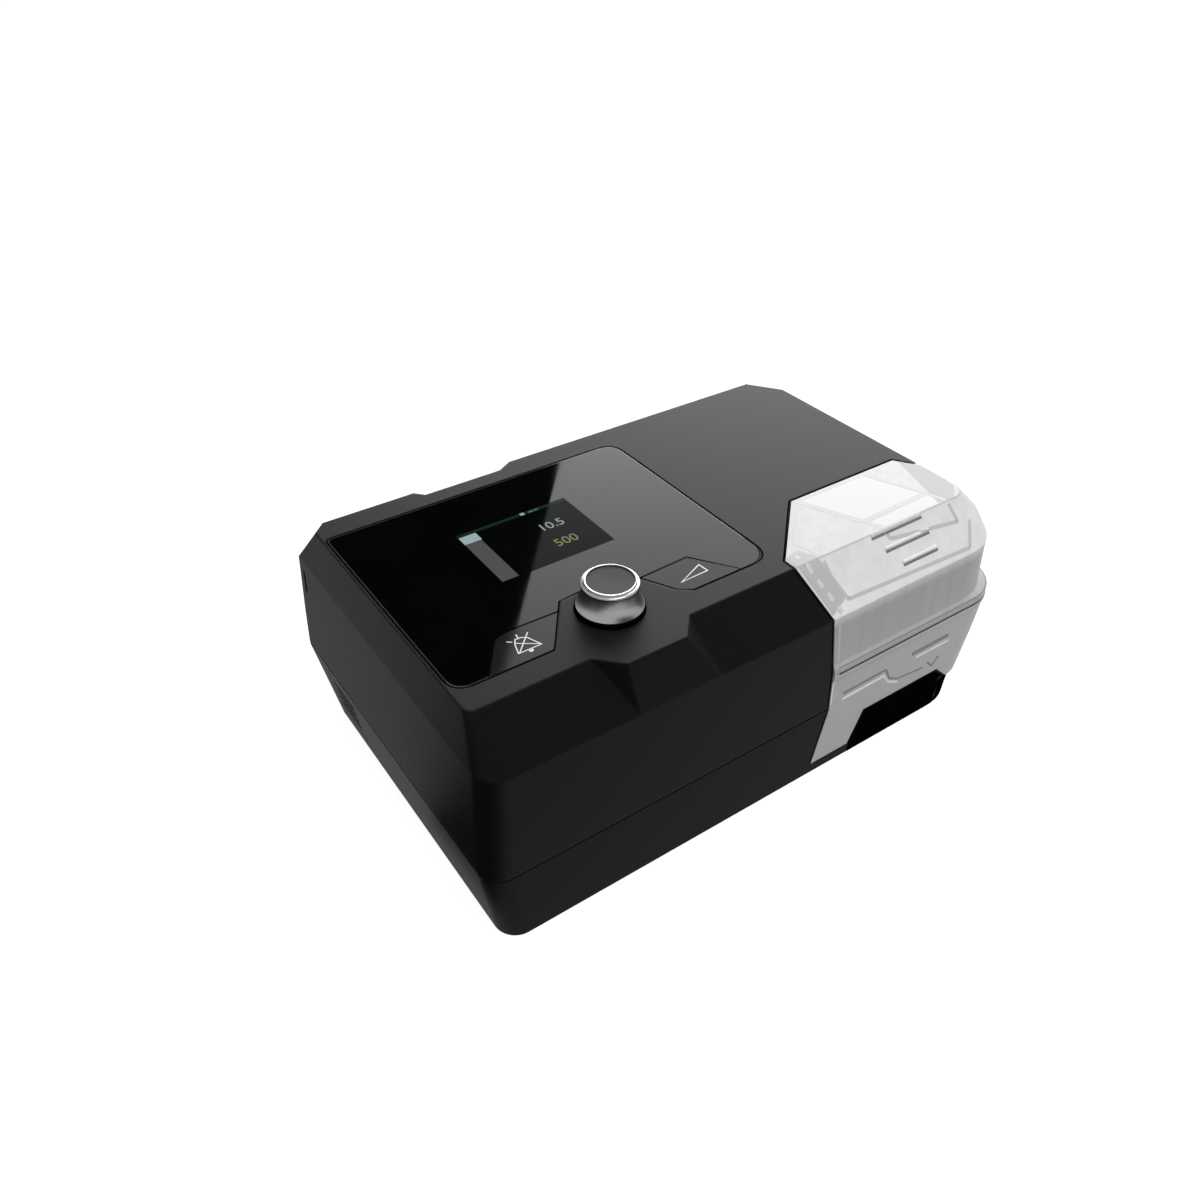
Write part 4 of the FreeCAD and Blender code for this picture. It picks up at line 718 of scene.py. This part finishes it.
z = top_of("display_glass")
# a painted highlight along the edges of the glass
printed("glass_edge_line", EDGE_HIGHLIGHT, "housing", [
    (rounded([(18.0, 25.6, 0), (4.3, 25.6, 7.5), (4.3, 132.2, 3), (142.4, 132.2, 8), (142.4, 40.0, 0)]),
     0.3, z, z + 0.01),
])
printed("cap_reveals", EDGE, "housing", [
    ([(17.1, 25.5), (28.1, 41.9), (34.0, 43.2), (56.3, 42.5)], 0.5, z, z + 0.012),
    ([(91.3, 42.3), (115.3, 43.3), (127.6, 25.5)], 0.5, z, z + 0.012),
])
printed("glass_reveal", EDGE, "housing", [
    (rounded([(42.8, 24.8, 0), (3.5, 24.8, 8.4), (3.5, 133.0, 3.2), (143.2, 133.0, 8.2),
              (143.2, 24.8, 10.2), (104.6, 24.8, 0)]), 0.7, ROOF, ROOF + 0.01),
    ([(42.8, 24.8), (59.0, 47.2), (72.5, 48.4), (92.4, 42.2), (99.4, 29.0), (104.6, 24.8)],
     0.5, ROOF, ROOF + 0.01),
])


# ---------------------------------------------------------------- studio

FLOOR_SIZE, FLOOR_GREY, FLOOR_WHITE = 6, 0.3, 0.93
SOFT_STRENGTH, WHITE_STRENGTH = 0.35, 1.0   # the world as a light, and as it is seen


def stage_mesh(name, corners, material):
    """One flat face that belongs to the studio."""
    mesh = bpy.data.meshes.new(name)
    mesh.from_pydata([Vector(c) for c in corners], [], [tuple(range(len(corners)))])
    piece = bpy.data.objects.new(name, mesh)
    bpy.context.scene.collection.objects.link(piece)
    mesh.materials.append(material)
    return piece


def seen_rays(tree):
    """1 for camera, glossy and transmission rays, and 0 for the others."""
    path = tree.nodes.new("ShaderNodeLightPath")
    result = path.outputs["Is Camera Ray"]
    for kind in ("Is Glossy Ray", "Is Transmission Ray"):
        larger = tree.nodes.new("ShaderNodeMath")
        larger.operation = "MAXIMUM"
        tree.links.new(result, larger.inputs[0])
        tree.links.new(path.outputs[kind], larger.inputs[1])
        result = larger.outputs[0]
    return result


def seen_as_white(tree, shader_out, share):
    """Adds plain white to what camera, glossy and transmission rays see."""
    scale = tree.nodes.new("ShaderNodeMath")
    scale.operation = "MULTIPLY"
    scale.inputs[1].default_value = share
    tree.links.new(seen_rays(tree), scale.inputs[0])
    glow = tree.nodes.new("ShaderNodeEmission")
    tree.links.new(scale.outputs[0], glow.inputs["Strength"])
    both = tree.nodes.new("ShaderNodeAddShader")
    tree.links.new(shader_out, both.inputs[0])
    tree.links.new(glow.outputs[0], both.inputs[1])
    return both.outputs[0]


def bare(name):
    """A new material without its usual shader, and its node tree."""
    m = bpy.data.materials.new(name)
    m.use_nodes = True
    m.node_tree.nodes.remove(m.node_tree.nodes[SHADER])
    return m, m.node_tree


floor_look, tree = bare("pale_floor")
matt = tree.nodes.new("ShaderNodeBsdfDiffuse")
matt.inputs["Color"].default_value = (FLOOR_GREY, FLOOR_GREY, FLOOR_GREY, 1)
tree.links.new(seen_as_white(tree, matt.outputs[0], FLOOR_WHITE),
               tree.nodes["Material Output"].inputs["Surface"])
stage_mesh("floor", [(-FLOOR_SIZE, -FLOOR_SIZE, 0), (FLOOR_SIZE, -FLOOR_SIZE, 0),
                     (FLOOR_SIZE, FLOOR_SIZE, 0), (-FLOOR_SIZE, FLOOR_SIZE, 0)], floor_look)

world = bpy.data.worlds.new("studio")
bpy.context.scene.world = world
world.use_nodes = True
tree = world.node_tree
tree.nodes.clear()
mix = tree.nodes.new("ShaderNodeMixShader")
tree.links.new(seen_rays(tree), mix.inputs["Fac"])
for number, strength in ((1, SOFT_STRENGTH), (2, WHITE_STRENGTH)):
    shader = tree.nodes.new("ShaderNodeBackground")
    shader.inputs["Color"].default_value = (1, 1, 1, 1)
    shader.inputs["Strength"].default_value = strength
    tree.links.new(shader.outputs[0], mix.inputs[number])
out = tree.nodes.new("ShaderNodeOutputWorld")
tree.links.new(mix.outputs[0], out.inputs["Surface"])


def softbox(name, place_at, aim, width, height, power):
    """A rectangular lamp aimed at a point, in metres and watts."""
    lamp = bpy.data.lights.new(name, "AREA")
    lamp.shape = "RECTANGLE"
    lamp.size = width
    lamp.size_y = height
    lamp.energy = power
    holder = bpy.data.objects.new(name, lamp)
    bpy.context.scene.collection.objects.link(holder)
    holder.location = place_at
    holder.rotation_euler = (Vector(aim) - Vector(place_at)).to_track_quat("-Z", "Y").to_euler()
    holder.visible_camera = False
    return holder


softbox("overhead", (0.12, -0.52, 1.42), (0, 0, 0), 1.0, 1.0, 13.6)
back_wall = softbox("back_wall", (1.22, 1.24, 1.05), (0, 0.02, 0.08), 2.3, 1.7, 114)
back_wall.visible_diffuse = False  # it only gives gloss


# dark flags, seen only in gloss: flag by the left part of the glass, front_flag by the front
# bevel, and floor_card by the left side
flag_look, tree = bare("flag")
dark = tree.nodes.new("ShaderNodeEmission")
dark.inputs["Color"].default_value = (0, 0, 0, 1)
dark.inputs["Strength"].default_value = 0.0
tree.links.new(dark.outputs[0], tree.nodes["Material Output"].inputs["Surface"])

edge_a = Vector((0.147, 0.569, 1.0))
edge_b = Vector((1.031, 1.612, 1.0))
away = Vector((-0.46, 0.385, 0)) * 1.6
front_way = Vector((0.36, -0.74, 0.55)).normalized()
front_side = Vector((front_way.y, -front_way.x, 0)).normalized()
front_rise = front_way.cross(front_side)
front_middle = front_way * 1.6
front_corners = [front_middle + front_side * a + front_rise * b
                 for a, b in ((-0.35, -0.7), (1.1, -0.7), (1.1, 0.55), (-0.35, 0.55))]
card_corners = [(x, y, 0.0004) for x, y in
                ((-0.135, -0.3), (-0.135, -0.02), (-0.2, 0.04), (-0.31, 0.12), (-0.5, 0.2), (-0.5, -0.3))]
for name, corners in (
    ("flag", [edge_a, edge_b, edge_b + away, edge_a + away]),
    ("front_flag", front_corners),
    ("floor_card", card_corners),
):
    flag = stage_mesh(name, corners, flag_look)
    flag.visible_camera = False
    flag.visible_diffuse = False
    flag.visible_shadow = False
    flag.visible_transmission = False


# ---------------------------------------------------------------- camera

AZIMUTH = math.radians(34.652)
ELEVATION = math.radians(28.221)
ROLL = math.radians(0.283)
lens = bpy.data.cameras.new("camera")
lens.sensor_width = 36
lens.lens = 34.570
lens.shift_y = -0.15
lens.clip_start = 0.01
camera = bpy.data.objects.new("camera", lens)
bpy.context.scene.collection.objects.link(camera)
camera.location = (-0.25528, -0.32733, 0.36015)
forward = Vector((math.sin(AZIMUTH) * math.cos(ELEVATION), math.cos(AZIMUTH) * math.cos(ELEVATION),
                  -math.sin(ELEVATION)))
turn = forward.to_track_quat("-Z", "Y").to_matrix() @ Matrix.Rotation(ROLL, 3, "Z")
camera.rotation_euler = turn.to_euler()
bpy.context.scene.camera = camera

bpy.context.scene.view_settings.view_transform = "Standard"
